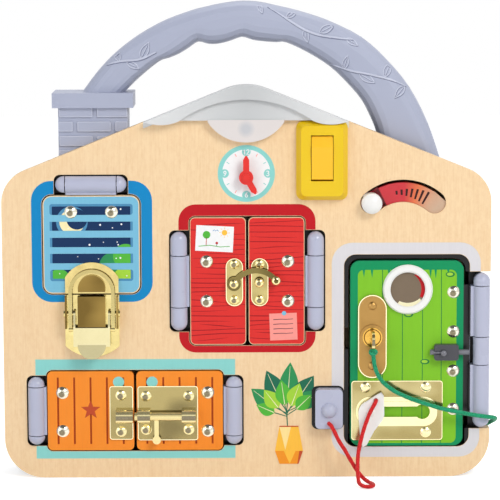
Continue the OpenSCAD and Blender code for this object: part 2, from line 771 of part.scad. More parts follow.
module handle() color("#a7acc2") {
    n = len(handle_curve);
    polyhedron(
        points = [for (s = handle_curve) for (k = [0 : ring_n - 1]) ring_point(s, k)],
        faces = concat(
            [[for (k = [ring_n - 1 : -1 : 0]) k]],
            [for (i = [0 : n - 2]) for (k = [0 : ring_n - 1])
                let (a = i * ring_n + k, b = i * ring_n + (k + 1) % ring_n) [a, b, a + ring_n]],
            [for (i = [0 : n - 2]) for (k = [0 : ring_n - 1])
                let (a = i * ring_n + k, b = i * ring_n + (k + 1) % ring_n) [b, b + ring_n, a + ring_n]],
            [[for (k = [0 : ring_n - 1]) (n - 1) * ring_n + k]]
        )
    );
}
chimney_x = -103.2;
cap_h = 10;
brick_t = 1.2;
brick_h = 6.6;
brick_pitch = 9.7;
brick_w = 22.3;
brick_gap = 3.3;
module chimney_outline() {
    x0 = chimney_x - chimney_w / 2;
    x1 = chimney_x + chimney_w / 2;
    z1 = chimney_top - cap_h;
    polygon([[x0, roof_at(x0)], [x1, roof_at(x1)], [x1, z1 + 1], [x0, z1 + 1]]);
}
module chimney() color("#a7acc2") {
    front_d = mid_d + chimney_d / 2;
    slab(mid_d - chimney_d / 2, front_d - brick_t) chimney_outline();
    slab(mid_d - chimney_d / 2 - 2.5, front_d + 2.5)
        translate([chimney_x - chimney_cap_w / 2, chimney_top - cap_h]) square([chimney_cap_w, cap_h]);
    slab(front_d - brick_t - 0.1, front_d) intersection() {
        chimney_outline();
        for (row = [0 : 4], k = [-2 : 1])
            translate([
                chimney_x + 3 + k * (brick_w + brick_gap) + (row % 2) * 12.2,
                chimney_top - cap_h - brick_h + 0.4 - row * brick_pitch
            ]) square([brick_w, brick_h]);
    }
}

// ---- Wires --------------------------------------------------------------
// A round cord or wire swept along points; each ring stands square to the path.
function unit(v) = v / norm(v);
function tangent(p, i) = unit(p[min(i + 1, len(p) - 1)] - p[max(i - 1, 0)]);
function flatten_to(v, t) = unit(v - (v * t) * t);
function normals(p, start, i = 0, out = []) =
    i == len(p) ? out :
    let (t = tangent(p, i), v = flatten_to(i == 0 ? start : out[i - 1], t))
    normals(p, start, i + 1, concat(out, [v]));
module swept(path, r, sides, start) {
    nv = normals(path, start);
    n = len(path);
    polyhedron(
        points = [for (i = [0 : n - 1]) let (t = tangent(path, i), u = nv[i], w = cross(t, u))
            for (k = [0 : sides - 1]) path[i] + r * (cos(360 * k / sides) * u + sin(360 * k / sides) * w)],
        faces = concat(
            [[for (k = [0 : sides - 1]) k]],
            [for (i = [0 : n - 2]) for (k = [0 : sides - 1])
                let (a = i * sides + k, b = i * sides + (k + 1) % sides) [a, a + sides, b]],
            [for (i = [0 : n - 2]) for (k = [0 : sides - 1])
                let (a = i * sides + k, b = i * sides + (k + 1) % sides) [b, a + sides, b + sides]],
            [[for (k = [sides - 1 : -1 : 0]) (n - 1) * sides + k]]
        )
    );
}
// Paths are given as [x, depth, z].
function to_path(p) = [for (q = p) [q[0], front_y - q[1], q[2]]];
wire_r = 0.8;
box_edge = back_mid_x + battery_w / 2 + battery_wall;
box_floor = case_back + battery_deep + 1.6;
wire_a = [
    [box_edge + 0.01, box_floor - 4, 208], [box_edge + 5, box_floor - 4, 208], [33, -24, 209],
    [42, -23, 211], [47, -21, 213], [48, -18, 214], [48, -switch_body_d - 0.01, 214]
];
wire_b = [
    [54, -switch_body_d - 0.01, 226], [54, -18, 226], [53.4, -20.4, 227.4], [50, -22, 230], [42, -21, 235],
    [33, -17, 239], [28.4, -14.6, 242.6], [27, -12.6, 244], [27, case_front - pcb_t - 0.01, 244]
];
module lamp_wires() color("#c02020") {
    swept(to_path(wire_a), wire_r, 8, [0, 0, 1]);
    swept(to_path(wire_b), wire_r, 8, [1, 0, 0]);
}

// ---- Window flap and its toggle latch -----------------------------------
module window_flap() color("#87c8e6") slab(door_back, door_proud) difference() {
    at(window_x, window_z) rounded(window_w, window_h, window_r);
    shank_holes(window_domes);
}
module window_leaf() color("#b4b6c6") hinge_leaf(window_hinge, web, leaf_l, window_domes);
module window_screws() color("#d0d0d6")
    for (p = window_domes) dome_screw(p, door_proud, leaf_back, dome_r, dome_h);

// The latch's heights are measured from the lever's pivot.
latch_x = window_x;
latch_z = window_z - window_h / 2 - 13.45;
latch_pivot_d = 4.2;
latch_pin_r = 1.1;
bail_d = 7.4;
bail_drop = -10.2;
ear_in = 16.6;
ear_t = 1.4;
cheek_in = 11;
cheek_t = 1.4;
bail_w = 2.4;
bail_in = 13.2;
bail_t = 2.2;
bail_top = 30.3;
tongue_r = 9.6;
module latch_at() {
    translate([latch_x, front_y, latch_z]) children();
}
// A side profile drawn as [depth, height] standing between two x.
module side(x0, x1) {
    translate([x0, 0, 0]) rotate([90, 0, 90]) mirror([1, 0]) linear_extrude(x1 - x0) children();
}
module both_sides() {
    for (s = [0, 1]) mirror([s, 0, 0]) children();
}
module cross_pin(x0, x1, d, z, r) {
    translate([x0, -d, z]) rotate([0, 90, 0]) cylinder(r = r, h = x1 - x0);
}
module latch_base() color("#c9a24a") {
    slab(0, plate_t) intersection() {
        at(latch_x, latch_z) translate([-latch_w / 2, -29.9]) square([latch_w, 42.5]);
        at(latch_x, latch_z - 3.9) circle(26);
    }
    latch_at() both_sides() {
        side(ear_in, ear_in + ear_t) translate([plate_t - 0.1, -9.7]) square([6.8, 22]);
        cross_pin(cheek_in, ear_in + ear_t + 1, latch_pivot_d, 0, latch_pin_r);
        cross_pin(ear_in + ear_t - 0.1, ear_in + ear_t + 1, latch_pivot_d, 0, 2.2);
        side(8.2, 9.4) translate([plate_t - 0.1, -8.5]) square([6, 20.8]);
    }
    slab(7, 8.2) at(latch_x, latch_z) translate([-9.4, -8.5]) square([18.8, 20.8]);
}
module latch_lever() color("#d8b65a") {
    lever_channel();
    // The thumb tongue leans forward and ends round.
    intersection() {
        latch_at() side(-tongue_r, tongue_r)
            polygon([[7.8, -20.5], [9, -20.5], [12.2, -29.9], [11, -29.9]]);
        slab(6, 14) at(latch_x, latch_z - 20.2) circle(tongue_r);
    }
}
module lever_channel() latch_at() {
    both_sides() difference() {
        side(cheek_in, cheek_in + cheek_t) {
            translate([latch_pivot_d, 0]) circle(2.6);
            polygon([[2.4, -21.7], [9, -21.7], [9, -8], [6.4, 1.3], [2.4, -1.6]]);
        }
        cross_pin(cheek_in - 1, cheek_in + cheek_t + 1, latch_pivot_d, 0, latch_pin_r + run);
        cross_pin(cheek_in - 1, cheek_in + cheek_t + 1, bail_d, bail_drop, latch_pin_r + run);
    }
    side(-cheek_in - 0.2, cheek_in + 0.2) translate([7.8, -21.7]) square([1.2, 8.9]);
    side(-cheek_in - 0.2, cheek_in + 0.2) translate([8.2, -13]) square([0.8, 4.1]);
}
module latch_bail() color("#b99142") latch_at() {
    // The loop leans back from the lever's pins towards the strike and is round at its top.
    outer = bail_in + bail_w;
    both_sides() {
        side(bail_in, outer) translate([bail_d, bail_drop]) circle(1.5);
        cross_pin(cheek_in + 0.3, bail_in + 0.5, bail_d, bail_drop, latch_pin_r);
    }
    intersection() {
        side(-outer, outer) polygon([
            [bail_d - 1.1, bail_drop], [bail_d + 1.1, bail_drop],
            [4.6 + bail_t / 2, bail_top], [4.6 - bail_t / 2, bail_top]
        ]);
        rotate([90, 0, 0]) linear_extrude(bail_d + 4) difference() {
            union() {
                translate([-outer, bail_drop - 2]) square([2 * outer, bail_top - outer - bail_drop + 2]);
                translate([0, bail_top - outer]) circle(outer);
            }
            translate([-bail_in, bail_drop - 3]) square([2 * bail_in, bail_top - outer - bail_drop + 3]);
            translate([0, bail_top - outer]) circle(bail_in);
        }
    }
}
module latch_strike() color("#c9a24a") {
    slab(door_proud, plate_front) intersection() {
        at(latch_x, latch_z + 13.8) circle(21);
        at(latch_x, latch_z) translate([-latch_w / 2 + 0.25, 13.65]) square([latch_w - 0.5, 22]);
    }
    slab(plate_front - 0.1, 5.2) intersection() {
        at(latch_x, latch_z + 17.1) circle(9.3);
        at(latch_x, latch_z) translate([-10, 15]) square([20, 20]);
    }
}

// ---- Paired doors -------------------------------------------------------
module door2(x, z, w, h, r, holes) {
    slab(door_back, door_proud) difference() {
        at(x, z) rounded(w, h, r);
        shank_holes(holes);
    }
}
module door_screws(points) {
    for (p = points) dome_screw(p, door_proud, leaf_back, dome_r, dome_h);
}
module red_door_left() color("#d2232e") door2(red_x - red_step, red_z, red_w, red_h, pair_r, red_domes[0]);
module red_door_right() color("#d2232e") door2(red_x + red_step, red_z, red_w, red_h, pair_r, red_domes[1]);
module red_leaf_left() color("#b4b6c6") hinge_leaf(red_hinges[0], web, leaf_l, red_domes[0]);
module red_leaf_right() color("#b4b6c6") hinge_leaf(red_hinges[1], web, leaf_l, red_domes[1]);
module red_screws_left() color("#d0d0d6") door_screws(red_domes[0]);
module red_screws_right() color("#d0d0d6") door_screws(red_domes[1]);

arm_d = 4.5;
arm_t = 1.5;
hook_pivot = [red_x - 9, red_z - 1.3];
hook_centre = [red_x + 5.9, red_z - 9];
hook_end = [red_x + 19.4, red_z + 1];
hook_z = red_z - 0.6;
hook_pin_r = 1.6;
module hook_studs(x) {
    for (z = [12.4, -12]) front(plate_front - 0.1) translate([x, hook_z + z, 0]) dome(3.4, stud_h);
}
module hook_plate() color("#d2b25c") {
    slab(door_proud, plate_front) at(red_x - 8.7, hook_z) stadium(hook_plate_w, hook_plate_h);
    hook_studs(red_x - 8.7);
    slab(plate_front - 0.1, arm_d - 0.2) at(hook_pivot[0], hook_pivot[1]) circle(3.2);
    slab(plate_front - 0.1, arm_d + arm_t + 0.3) at(hook_pivot[0], hook_pivot[1]) circle(hook_pin_r);
    front(arm_d + arm_t + 0.2) translate([hook_pivot[0], hook_pivot[1], 0]) dome(3, 1.2);
}
module hook_arm() color("#e0c070") {
    slab(arm_d, arm_d + arm_t) difference() {
        union() {
            at(hook_pivot[0], hook_pivot[1]) circle(4.7);
            at(hook_centre[0], hook_centre[1])
                arc_band(hook_arc_r - hook_w / 2, hook_arc_r + hook_w / 2, -62.7, 53.5);
            at(hook_end[0], hook_end[1]) circle(3);
        }
        at(hook_pivot[0], hook_pivot[1]) circle(hook_pin_r + run);
    }
    slab(arm_d, arm_d + arm_t + 1) at(hook_end[0], hook_end[1]) circle(3);
    front(arm_d + arm_t + 0.9) translate([hook_end[0], hook_end[1], 0]) dome(3, 1.6);
}
module hook_keeper() color("#d2b25c") {
    slab(door_proud, plate_front) at(red_x + 8.4, hook_z) stadium(hook_plate_w, hook_plate_h);
    hook_studs(red_x + 8.4);
    slab(plate_front - 0.1, 6) at(red_x + 8.1, hook_z + 0.2) circle(1.9);
    front(5.9) translate([red_x + 8.1, hook_z + 0.2, 0]) dome(3.2, 1.6);
}

plank_pitch = 11.1;
plank_groove = 1.3;
plank_deep = 0.9;
plank_l = orange_h - 8.4;
module orange_door(x, holes) {
    difference() {
        door2(x, orange_z, orange_w, orange_h, pair_r, holes);
        slab(door_proud - plank_deep, door_proud + 1)
            for (k = [-2 : 2]) at(x + k * plank_pitch, orange_z) box2(plank_groove, plank_l);
    }
}
module orange_door_left() color("#f08a2c") orange_door(orange_x - orange_step, orange_domes[0]);
module orange_door_right() color("#f08a2c") orange_door(orange_x + orange_step, orange_domes[1]);
module orange_leaf_left() color("#b4b6c6") hinge_leaf(orange_hinges[0], web, leaf_l, orange_domes[0]);
module orange_leaf_right() color("#b4b6c6") hinge_leaf(orange_hinges[1], web, leaf_l, orange_domes[1]);
module orange_screws_left() color("#d0d0d6") door_screws(orange_domes[0]);
module orange_screws_right() color("#d0d0d6") door_screws(orange_domes[1]);

rod_d = 5.4;
rod_z = orange_z - 3.1;
rod_gap = 0.3;
rod_right = orange_x + 40;
stem_x = orange_x + 14.6;
stem_half = 1.5;
guide_wall = 1.4;
guide_l = 9.4;
plate_r = 1.8;
module rod_tunnel(x0, x1) {
    // A bridge over the rod that stands on its plate.
    r = rod_r + rod_gap + guide_wall;
    difference() {
        union() {
            front(rod_d) translate([x0, rod_z, 0]) rotate([0, 90, 0]) cylinder(r = r, h = x1 - x0);
            slab(door_proud, rod_d) translate([x0, rod_z - r]) square([x1 - x0, 2 * r]);
        }
        front(rod_d) translate([x0 - 1, rod_z, 0]) rotate([0, 90, 0])
            cylinder(r = rod_r + rod_gap, h = x1 - x0 + 2);
        slab(rod_d - 4 * r, door_proud) translate([x0 - 1, rod_z - 2 * r]) square([x1 - x0 + 2, 4 * r]);
    }
}
module plate_studs(xs, zs, r) {
    for (x = xs, z = zs) front(plate_front - 0.1) translate([x, z, 0]) dome(r, stud_h);
}
keeper_left = orange_x - 12.9;
keeper_right = orange_x - pair_gap / 2 - 0.5;
keeper_gap = 0.8;
module bolt_keeper() color("#c9a24a") {
    keeper_w = keeper_right - orange_x + 17.4;
    slab(door_proud, plate_front) at(keeper_right - keeper_w / 2, orange_z - 1.3)
        rounded(keeper_w, 37, plate_r);
    // The arch is open down to its plate, so that the rod enters it freely.
    difference() {
        rod_tunnel(keeper_left, keeper_right);
        r = rod_r + keeper_gap;
        front(rod_d) translate([keeper_left - 1, rod_z, 0]) rotate([0, 90, 0])
            cylinder(r = r, h = keeper_right - keeper_left + 2);
        slab(plate_front, rod_d) translate([keeper_left - 1, rod_z - r])
            square([keeper_right - keeper_left + 2, 2 * r]);
    }
    plate_studs([orange_x - 9.6], [orange_z + 10.9, orange_z - 14.1], stud_r);
}
module bolt_plate() color("#c9a24a") {
    x0 = orange_x + pair_gap / 2 + 0.8;
    guide_2 = stem_x + stem_half + rod_travel + 0.7;
    slab(door_proud, plate_front) at(x0 + 20.5, orange_z - 1.6) rounded(41, 37.4, plate_r);
    rod_tunnel(x0, stem_x - stem_half - 2.8);
    rod_tunnel(guide_2, guide_2 + guide_l);
    plate_studs([orange_x + 7.4, orange_x + 36.4], [orange_z + 10.3, orange_z - 12.8], stud_r);
}
module bolt_rod() color("#e6d39a") {
    front(rod_d) translate([rod_right - rod_l, rod_z, 0]) rotate([0, 90, 0]) cylinder(r = rod_r, h = rod_l);
    slab(4.6, 7) {
        translate([stem_x - stem_half, rod_z - 15.4]) square([2 * stem_half, 15.4]);
        translate([stem_x, rod_z - 16.2]) circle(2.85);
    }
}

// ---- Green door ---------------------------------------------------------
lock_x = green_x - 23.35;
lock_z = green_z + 11.5;
tube_r = 8;
module green_door() color("#8ac83c") slab(door_back, door_proud) difference() {
    at(green_x, green_z) rounded(green_w, green_h, green_r);
    shank_holes(green_domes);
    at(lock_x, lock_z) circle(tube_r + 0.05);
}
module green_leaf() color("#b4b6c6") {
    y0 = green_mid / 2 + knuckle_gap;
    difference() {
        hinge_frame(green_hinge) {
            for (s = [0, 1]) mirror([0, s, 0]) {
                along_pin(y0, y0 + green_knuckle, barrel_r);
                translate([0, y0, leaf_back]) cube([green_web, green_knuckle, 1.5 - leaf_back]);
            }
            translate([7.2, -y0 - green_knuckle, leaf_back])
                cube([leaf_l - 7.2, 2 * (y0 + green_knuckle), leaf_t]);
        }
        hinge_frame(green_hinge) along_pin(-green_hinge[3], green_hinge[3], pin_r + run);
        slab(leaf_back - 1, door_back + 1) shank_holes(green_domes);
    }
}
module green_screws() color("#d0d0d6") door_screws(green_domes);

module lock_plate() color("#cfd0d6") difference() {
    union() {
        slab(door_proud, door_proud + 1.5) at(lock_x, lock_z + 0.5) stadium(lock_w, lock_h);
        slab(door_proud, door_proud + 2.7) at(lock_x, lock_z) circle(plug_r + 1.9);
        slab(door_back - 2, door_proud + 0.1) at(lock_x, lock_z) circle(tube_r);
        for (z = [21, -20]) front(door_proud + 1.4) translate([lock_x, lock_z + 0.5 + z, 0]) dome(3, 1.4);
    }
    slab(door_back - 3, door_proud + 4) at(lock_x, lock_z) circle(plug_r);
}
key_t = 2;
key_h = 5.4;
key_slack = 0.1;
cam_l = 20.5;
cam_half = 4;
module lock_plug() color("#b9bac2") {
    difference() {
        slab(case_front - 0.5, door_proud + 2.7) at(lock_x, lock_z) circle(plug_r - run);
        slab(door_back, door_proud + 4) at(lock_x, lock_z) box2(key_t + 2 * key_slack, key_h + 2 * key_slack);
    }
    slab(case_front - 2.2, case_front - 0.4) at(lock_x, lock_z) {
        circle(plug_r - run);
        translate([-cam_half, -cam_l + cam_half]) square([2 * cam_half, cam_l - cam_half]);
        translate([0, -cam_l + cam_half]) circle(cam_half);
    }
}
bow_r = 6.3;
bow_d = 15;
module door_key() color("#e0c25a") {
    slab(door_back + 0.2, 5) at(lock_x, lock_z) box2(key_t, key_h);
    slab(door_proud + 3, bow_d - 4) at(lock_x, lock_z) box2(key_t, 7);
    translate([lock_x - key_t / 2, front_y - bow_d, lock_z]) rotate([0, 90, 0]) difference() {
        cylinder(r = bow_r, h = key_t);
        translate([0, 0, -1]) cylinder(r = 2, h = key_t + 2);
    }
}
peep_x = green_x + 0.5;
peep_z = green_z + 44.1;
module peephole_ring() color("#f2f2f0") front(door_proud) translate([peep_x, peep_z, 0]) rotate_extrude()
    polygon([
        [peep_hole_r, 0], [peep_r, 0], [peep_r, 1.2], [peep_r - 1, 2.5],
        [peep_hole_r + 0.9, 2.5], [peep_hole_r, 1.7]
    ]);

chain_x = green_x - 6.5;
chain_z = green_z - 39;
slot_x1 = chain_x + 17.2;
tab_x = slot_x1 - 2.8 - tab_travel;
slot_z = green_z - 39.6;
track_half = slot_h / 2 + 1.5;
slot_x0 = tab_x - track_half;
track_d = door_proud + 1.5;
hump_d = 3.7;
module track(half, grow = 0) {
    translate([slot_x0 - grow, slot_z - half - grow])
        square([slot_x1 - slot_x0 + 2 * grow, 2 * (half + grow)]);
    at(slot_x1, slot_z) circle(half + grow);
}
// The raised band round the slot, rounded at both ends.
module frame_band(grow) {
    x0 = slot_x0 - grow;
    x1 = slot_x1 + track_half + grow;
    half = track_half + grow;
    at((x0 + x1) / 2, slot_z) rounded(x1 - x0, 2 * half, half - 1);
}
module slotted_plate() color("#cda552") {
    difference() {
        union() {
            slab(door_proud, plate_front) at(chain_x, chain_z) rounded(chain_w, chain_h, 2);
            slab(door_proud, 2.8) frame_band(5);
            slab(door_proud, 3.2) frame_band(3.6);
            slab(door_proud, hump_d) frame_band(2);
        }
        slab(door_proud - 1, track_d) track(track_half);
        slab(door_proud - 1, hump_d + 1) {
            track(slot_h / 2);
            at(slot_x1, slot_z) circle(track_half);
        }
    }
    plate_studs([chain_x - 21.4, chain_x + 19.5], [chain_z + 16, chain_z - 15], stud_r);
}
tab_d = 4.6;
tab_t = 2;
module cord_tab() color("#f4f4f2") {
    slab(door_proud + 0.1, track_d - 0.1) at(tab_x, slot_z) circle(track_half - 0.35);
    slab(door_proud + 0.2, tab_d + 0.1) at(tab_x, slot_z) circle(slot_h / 2 - 0.35);
    slab(tab_d, tab_d + tab_t) difference() {
        at(tab_x, slot_z - 0.6) {
            circle(8.8);
            polygon([
                [-8.8, 0], [-8, -11], [-7.2, -20], [-5.8, -23.2], [-3.2, -22], [2, -12],
                [7.4, -5], [8.8, 1], [8.4, 12], [6.8, 14.4], [4.4, 13.3], [-5, 7]
            ]);
        }
        at(tab_x + 3, slot_z + 8.4) circle(1.6);
    }
    front(tab_d + tab_t - 0.1) translate([tab_x, slot_z, 0]) dome(3, 1);
}
side_rod_r = 1.85;
side_z = green_z + 1.3;
side_d = 3.6;
side_knob_x = green_x + 24.6;
module side_bolt_guide() color("#3a2a24") difference() {
    slab(door_proud, 6.4) at(green_x + 26.6, green_z + 1.4) rounded(16.4, 10.8, 1.6);
    front(side_d) translate([green_x + 10, side_z, 0]) rotate([0, 90, 0])
        cylinder(r = side_rod_r + 0.3, h = 40);
    slab(side_d, 7) translate([side_knob_x - 6.4, side_z - 1.3]) square([7.7, 2.6]);
}
module side_bolt_rod() color("#c9cad0") {
    front(side_d) translate([green_x + 15.7, side_z, 0]) rotate([0, 90, 0])
        cylinder(r = side_rod_r, h = 26.4);
    slab(side_d, 7) at(side_knob_x, side_z) circle(0.95);
    front(7) translate([side_knob_x, side_z, 0]) cylinder(r = 1.9, h = 1.6);
    front(8.5) translate([side_knob_x, side_z, 0]) dome(1.9, 0.9);
}

// ---- Cords --------------------------------------------------------------
block_w = 18.6;
block_h = 27;
block_x = green_x - green_hole[2] / 2 - 1 - block_w / 2;
block_z = 48.3;
block_d = 8;
module cord_block() color("#9a9aa2") {
    slab(0, block_d) at(block_x, block_z) rounded(block_w, block_h, 3);
    front(block_d - 0.1) translate([block_x, block_z - 0.8, 0]) dome(5.3, 4.2);
}
red_cord_r = 1.4;
red_path = [
    [block_x, block_d + 0.01, 38.6], [block_x, 9.6, 38.6], [57, 11.4, 37.4], [59, 13, 34], [62, 15, 28],
    [66, 17, 22], [70, 18, 15], [74.5, 19.5, 8], [78.5, 22, 3.6], [82, 26, 1.9], [84.4, 31, 1.6],
    [84, 35.5, 1.6], [81, 38, 1.6], [77.5, 36.5, 1.7], [75, 32, 3], [74.4, 27, 7], [74.4, 22, 13],
    [75, 18, 20], [76.5, 15.2, 27], [78.5, 13, 34], [80.6, 11.6, 40], [83, 10.6, 46],
    [85.4, 9.8, 50.4], [tab_x + 3, 8.6, slot_z + 8.2], [tab_x + 3, 7, slot_z + 8.4],
    [tab_x + 3, 5, slot_z + 8.4]
];
module red_cord() color("#d02030") swept(to_path(red_path), red_cord_r, 8, [1, 0, 0]);
green_cord_r = 1.5;
bow_low = bow_d;
green_path = [
    [lock_x, bow_low, lock_z - bow_r - 0.01], [lock_x, bow_low, 87.5], [85.6, 14.6, 82],
    [87, 13.6, 76], [90, 12.6, 70], [94, 11.6, 65.5], [100, 10.6, 61], [107, 9.6, 57.4],
    [114, 9, 54.5], [122, 8.8, 51.8], [131, 9, 49], [140, 9.2, 47], [148, 9.4, 45.4],
    [155, 9.6, 44.2], [161, 9.4, 43.3], [165.6, 7.6, 42.4], [168.2, 4, 41.2], [169, -1, 39.6],
    [168.4, -6, 37.8], [166.6, -10.5, 35.6], [164, -14.2, 33.4], [162, -16, 32.2],
    [160.4, -16.4, 32], [159.01, -16.4, 32]
];
module green_cord() color("#1e966e") swept(to_path(green_path), green_cord_r, 8, [1, 0, 0]);

front_board();
case_shell();
back_panel();
back_screws();
handle();
chimney();
lamp_cover();
led_board();
battery_box();
batteries();
battery_door();
switch_bezel();
switch_rocker();
lamp_wires();
clock_pin();
hour_hand();
minute_hand();
slider_strip();
slider_knob();
hinge_knuckles();
hinge_pins();
latch_base();
latch_lever();
latch_bail();
latch_strike();
window_flap();
window_leaf();
window_screws();
red_door_left();
red_leaf_left();
red_screws_left();
hook_plate();
hook_arm();
red_door_right();
red_leaf_right();
red_screws_right();
hook_keeper();
orange_door_left();
orange_leaf_left();
orange_screws_left();
bolt_keeper();
orange_door_right();
orange_leaf_right();
orange_screws_right();
bolt_plate();
bolt_rod();
green_door();
green_leaf();
green_screws();
lock_plate();
lock_plug();
door_key();
peephole_ring();
slotted_plate();
cord_tab();
side_bolt_guide();
side_bolt_rod();
cord_block();
red_cord();
green_cord();
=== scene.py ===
import math
import random
import bpy
import bmesh
from mathutils import Matrix, Vector, geometry
from mathutils.bvhtree import BVHTree


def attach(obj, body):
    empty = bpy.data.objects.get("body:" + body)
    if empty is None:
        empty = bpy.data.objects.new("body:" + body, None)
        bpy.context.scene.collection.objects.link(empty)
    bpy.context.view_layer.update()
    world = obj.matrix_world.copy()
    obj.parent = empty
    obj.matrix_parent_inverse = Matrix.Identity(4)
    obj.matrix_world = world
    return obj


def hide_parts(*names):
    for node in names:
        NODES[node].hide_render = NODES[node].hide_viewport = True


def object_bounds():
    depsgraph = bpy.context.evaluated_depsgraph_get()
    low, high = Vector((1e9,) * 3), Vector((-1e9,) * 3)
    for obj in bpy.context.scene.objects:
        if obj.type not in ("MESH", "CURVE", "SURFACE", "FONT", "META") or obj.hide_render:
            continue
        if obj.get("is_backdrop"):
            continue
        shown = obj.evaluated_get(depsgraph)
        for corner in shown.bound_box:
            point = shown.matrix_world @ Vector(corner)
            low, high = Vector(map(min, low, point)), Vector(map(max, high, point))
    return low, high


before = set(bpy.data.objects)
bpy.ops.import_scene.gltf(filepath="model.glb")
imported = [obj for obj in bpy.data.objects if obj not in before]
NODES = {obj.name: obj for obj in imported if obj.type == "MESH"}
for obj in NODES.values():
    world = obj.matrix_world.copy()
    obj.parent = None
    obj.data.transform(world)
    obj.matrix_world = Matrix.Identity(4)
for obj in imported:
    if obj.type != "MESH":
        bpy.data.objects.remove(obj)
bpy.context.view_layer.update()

FRONT = -0.022          # the front board's face, in metres
FRONT_MM = -1000 * FRONT
DROP = 0.135            # a point 1 mm forward is seen this much lower, in mm
DOOR = 1.0              # the doors' faces, in mm forward of the board's face
PLATE = 2.2             # the faces of the brass plates, in mm forward of the board's face

# ---- Camera ---------------------------------------------------------------
LENS = 181.4
CAMERA_FAR = 1.7        # in metres
CAMERA_RISE = 7.7       # in degrees
CAMERA_ROLL = -0.2
scene = bpy.context.scene
scene.view_settings.view_transform = "Standard"


def aim(obj, target, roll=0.0):
    way = Vector(target) - obj.location
    turn = way.to_track_quat("-Z", "Y").to_matrix().to_4x4()
    obj.matrix_world = Matrix.Translation(obj.location) @ turn @ Matrix.Rotation(roll, 4, "Z")


cam_data = bpy.data.cameras.new("camera")
cam = bpy.data.objects.new("camera", cam_data)
scene.collection.objects.link(cam)
cam_data.lens = LENS
cam_data.sensor_width = 36
cam_data.clip_end = 20
target = Vector((0.0024, FRONT, 0.1563))
rise = math.radians(CAMERA_RISE)
cam.location = target + CAMERA_FAR * Vector((0, -math.cos(rise), math.sin(rise)))
aim(cam, target, math.radians(CAMERA_ROLL))
scene.camera = cam


def place(x, d, z):
    """A point given in mm: x, depth forward of the board's face, height."""
    return Vector((x / 1000, FRONT - d / 1000, z / 1000))


# ---- Materials --------------------------------------------------------------
def srgb(r, g, b):
    def lin(c):
        c /= 255
        return c / 12.92 if c <= 0.04045 else ((c + 0.055) / 1.055) ** 2.4
    return (lin(r), lin(g), lin(b), 1)


class Shade:
    """A small helper that wires one material's nodes."""

    def __init__(self, name, rough=0.5, metal=0.0, coat=0.0, spec=0.5, sheen=0.0):
        self.mat = bpy.data.materials.new(name)
        self.mat.use_nodes = True
        self.t = self.mat.node_tree
        self.bsdf = self.t.nodes["Principled BSDF"]
        self.bsdf.inputs["Roughness"].default_value = rough
        self.bsdf.inputs["Metallic"].default_value = metal
        self.bsdf.inputs["Coat Weight"].default_value = coat
        self.bsdf.inputs["Coat Roughness"].default_value = 0.12
        self.bsdf.inputs["Specular IOR Level"].default_value = spec
        if sheen:
            self.bsdf.inputs["Sheen Weight"].default_value = sheen
            self.bsdf.inputs["Sheen Roughness"].default_value = 0.4
        where = self.new("ShaderNodeTexCoord")
        self.coord, self.facing = where.outputs["Object"], where.outputs["Normal"]

    def new(self, kind, **values):
        n = self.t.nodes.new(kind)
        for k, v in values.items():
            setattr(n, k, v)
        return n

    def link(self, a, b):
        self.t.links.new(a, b)

    def scaled(self, x, y, z):
        m = self.new("ShaderNodeMapping")
        self.link(self.coord, m.inputs["Vector"])
        m.inputs["Scale"].default_value = (x, y, z)
        return m.outputs["Vector"]

    def noise(self, vector, scale=1.0, detail=3.0, rough=0.55, warp=0.0):
        n = self.new("ShaderNodeTexNoise")
        n.inputs["Scale"].default_value = scale
        n.inputs["Detail"].default_value = detail
        n.inputs["Roughness"].default_value = rough
        n.inputs["Distortion"].default_value = warp
        self.link(vector, n.inputs["Vector"])
        return n.outputs["Fac"]

    def ramp(self, fac, stops):
        r = self.new("ShaderNodeValToRGB")
        e = r.color_ramp.elements
        while len(e) < len(stops):
            e.new(0.5)
        for k, (p, c) in enumerate(stops):
            e[k].position = p
            e[k].color = c if len(c) == 4 else (*c, 1)
        self.link(fac, r.inputs["Fac"])
        return r.outputs["Color"]

    def mix(self, fac, a, b, blend="MIX"):
        m = self.new("ShaderNodeMix", data_type="RGBA", blend_type=blend)
        for v, s in ((fac, m.inputs[0]), (a, m.inputs[6]), (b, m.inputs[7])):
            if isinstance(v, (int, float, tuple)):
                s.default_value = v
            else:
                self.link(v, s)
        return m.outputs[2]

    def math(self, op, a, b=0.0, c=0.0):
        m = self.new("ShaderNodeMath", operation=op)
        for v, s in zip((a, b, c), m.inputs):
            if isinstance(v, (int, float)):
                s.default_value = v
            else:
                self.link(v, s)
        return m.outputs[0]

    def times(self, a, b):
        return self.math("MULTIPLY", a, b)

    def below(self, a, b):
        return self.math("LESS_THAN", a, b)

    def split(self, vector):
        n = self.new("ShaderNodeSeparateXYZ")
        self.link(vector, n.inputs[0])
        return n.outputs

    def color(self, out):
        self.link(out, self.bsdf.inputs["Base Color"])

    def rough(self, fac, low, high):
        r = self.new("ShaderNodeMapRange")
        self.link(fac, r.inputs["Value"])
        r.inputs["To Min"].default_value = low
        r.inputs["To Max"].default_value = high
        self.link(r.outputs["Result"], self.bsdf.inputs["Roughness"])

    def bump(self, height, strength=0.2, distance=0.0003):
        b = self.new("ShaderNodeBump")
        b.inputs["Strength"].default_value = strength
        b.inputs["Distance"].default_value = distance
        self.link(height, b.inputs["Height"])
        self.link(b.outputs["Normal"], self.bsdf.inputs["Normal"])


WHITE = (1, 1, 1, 1)


def shift(c, k):
    return tuple(k * v for v in c[:3]) + (1,)


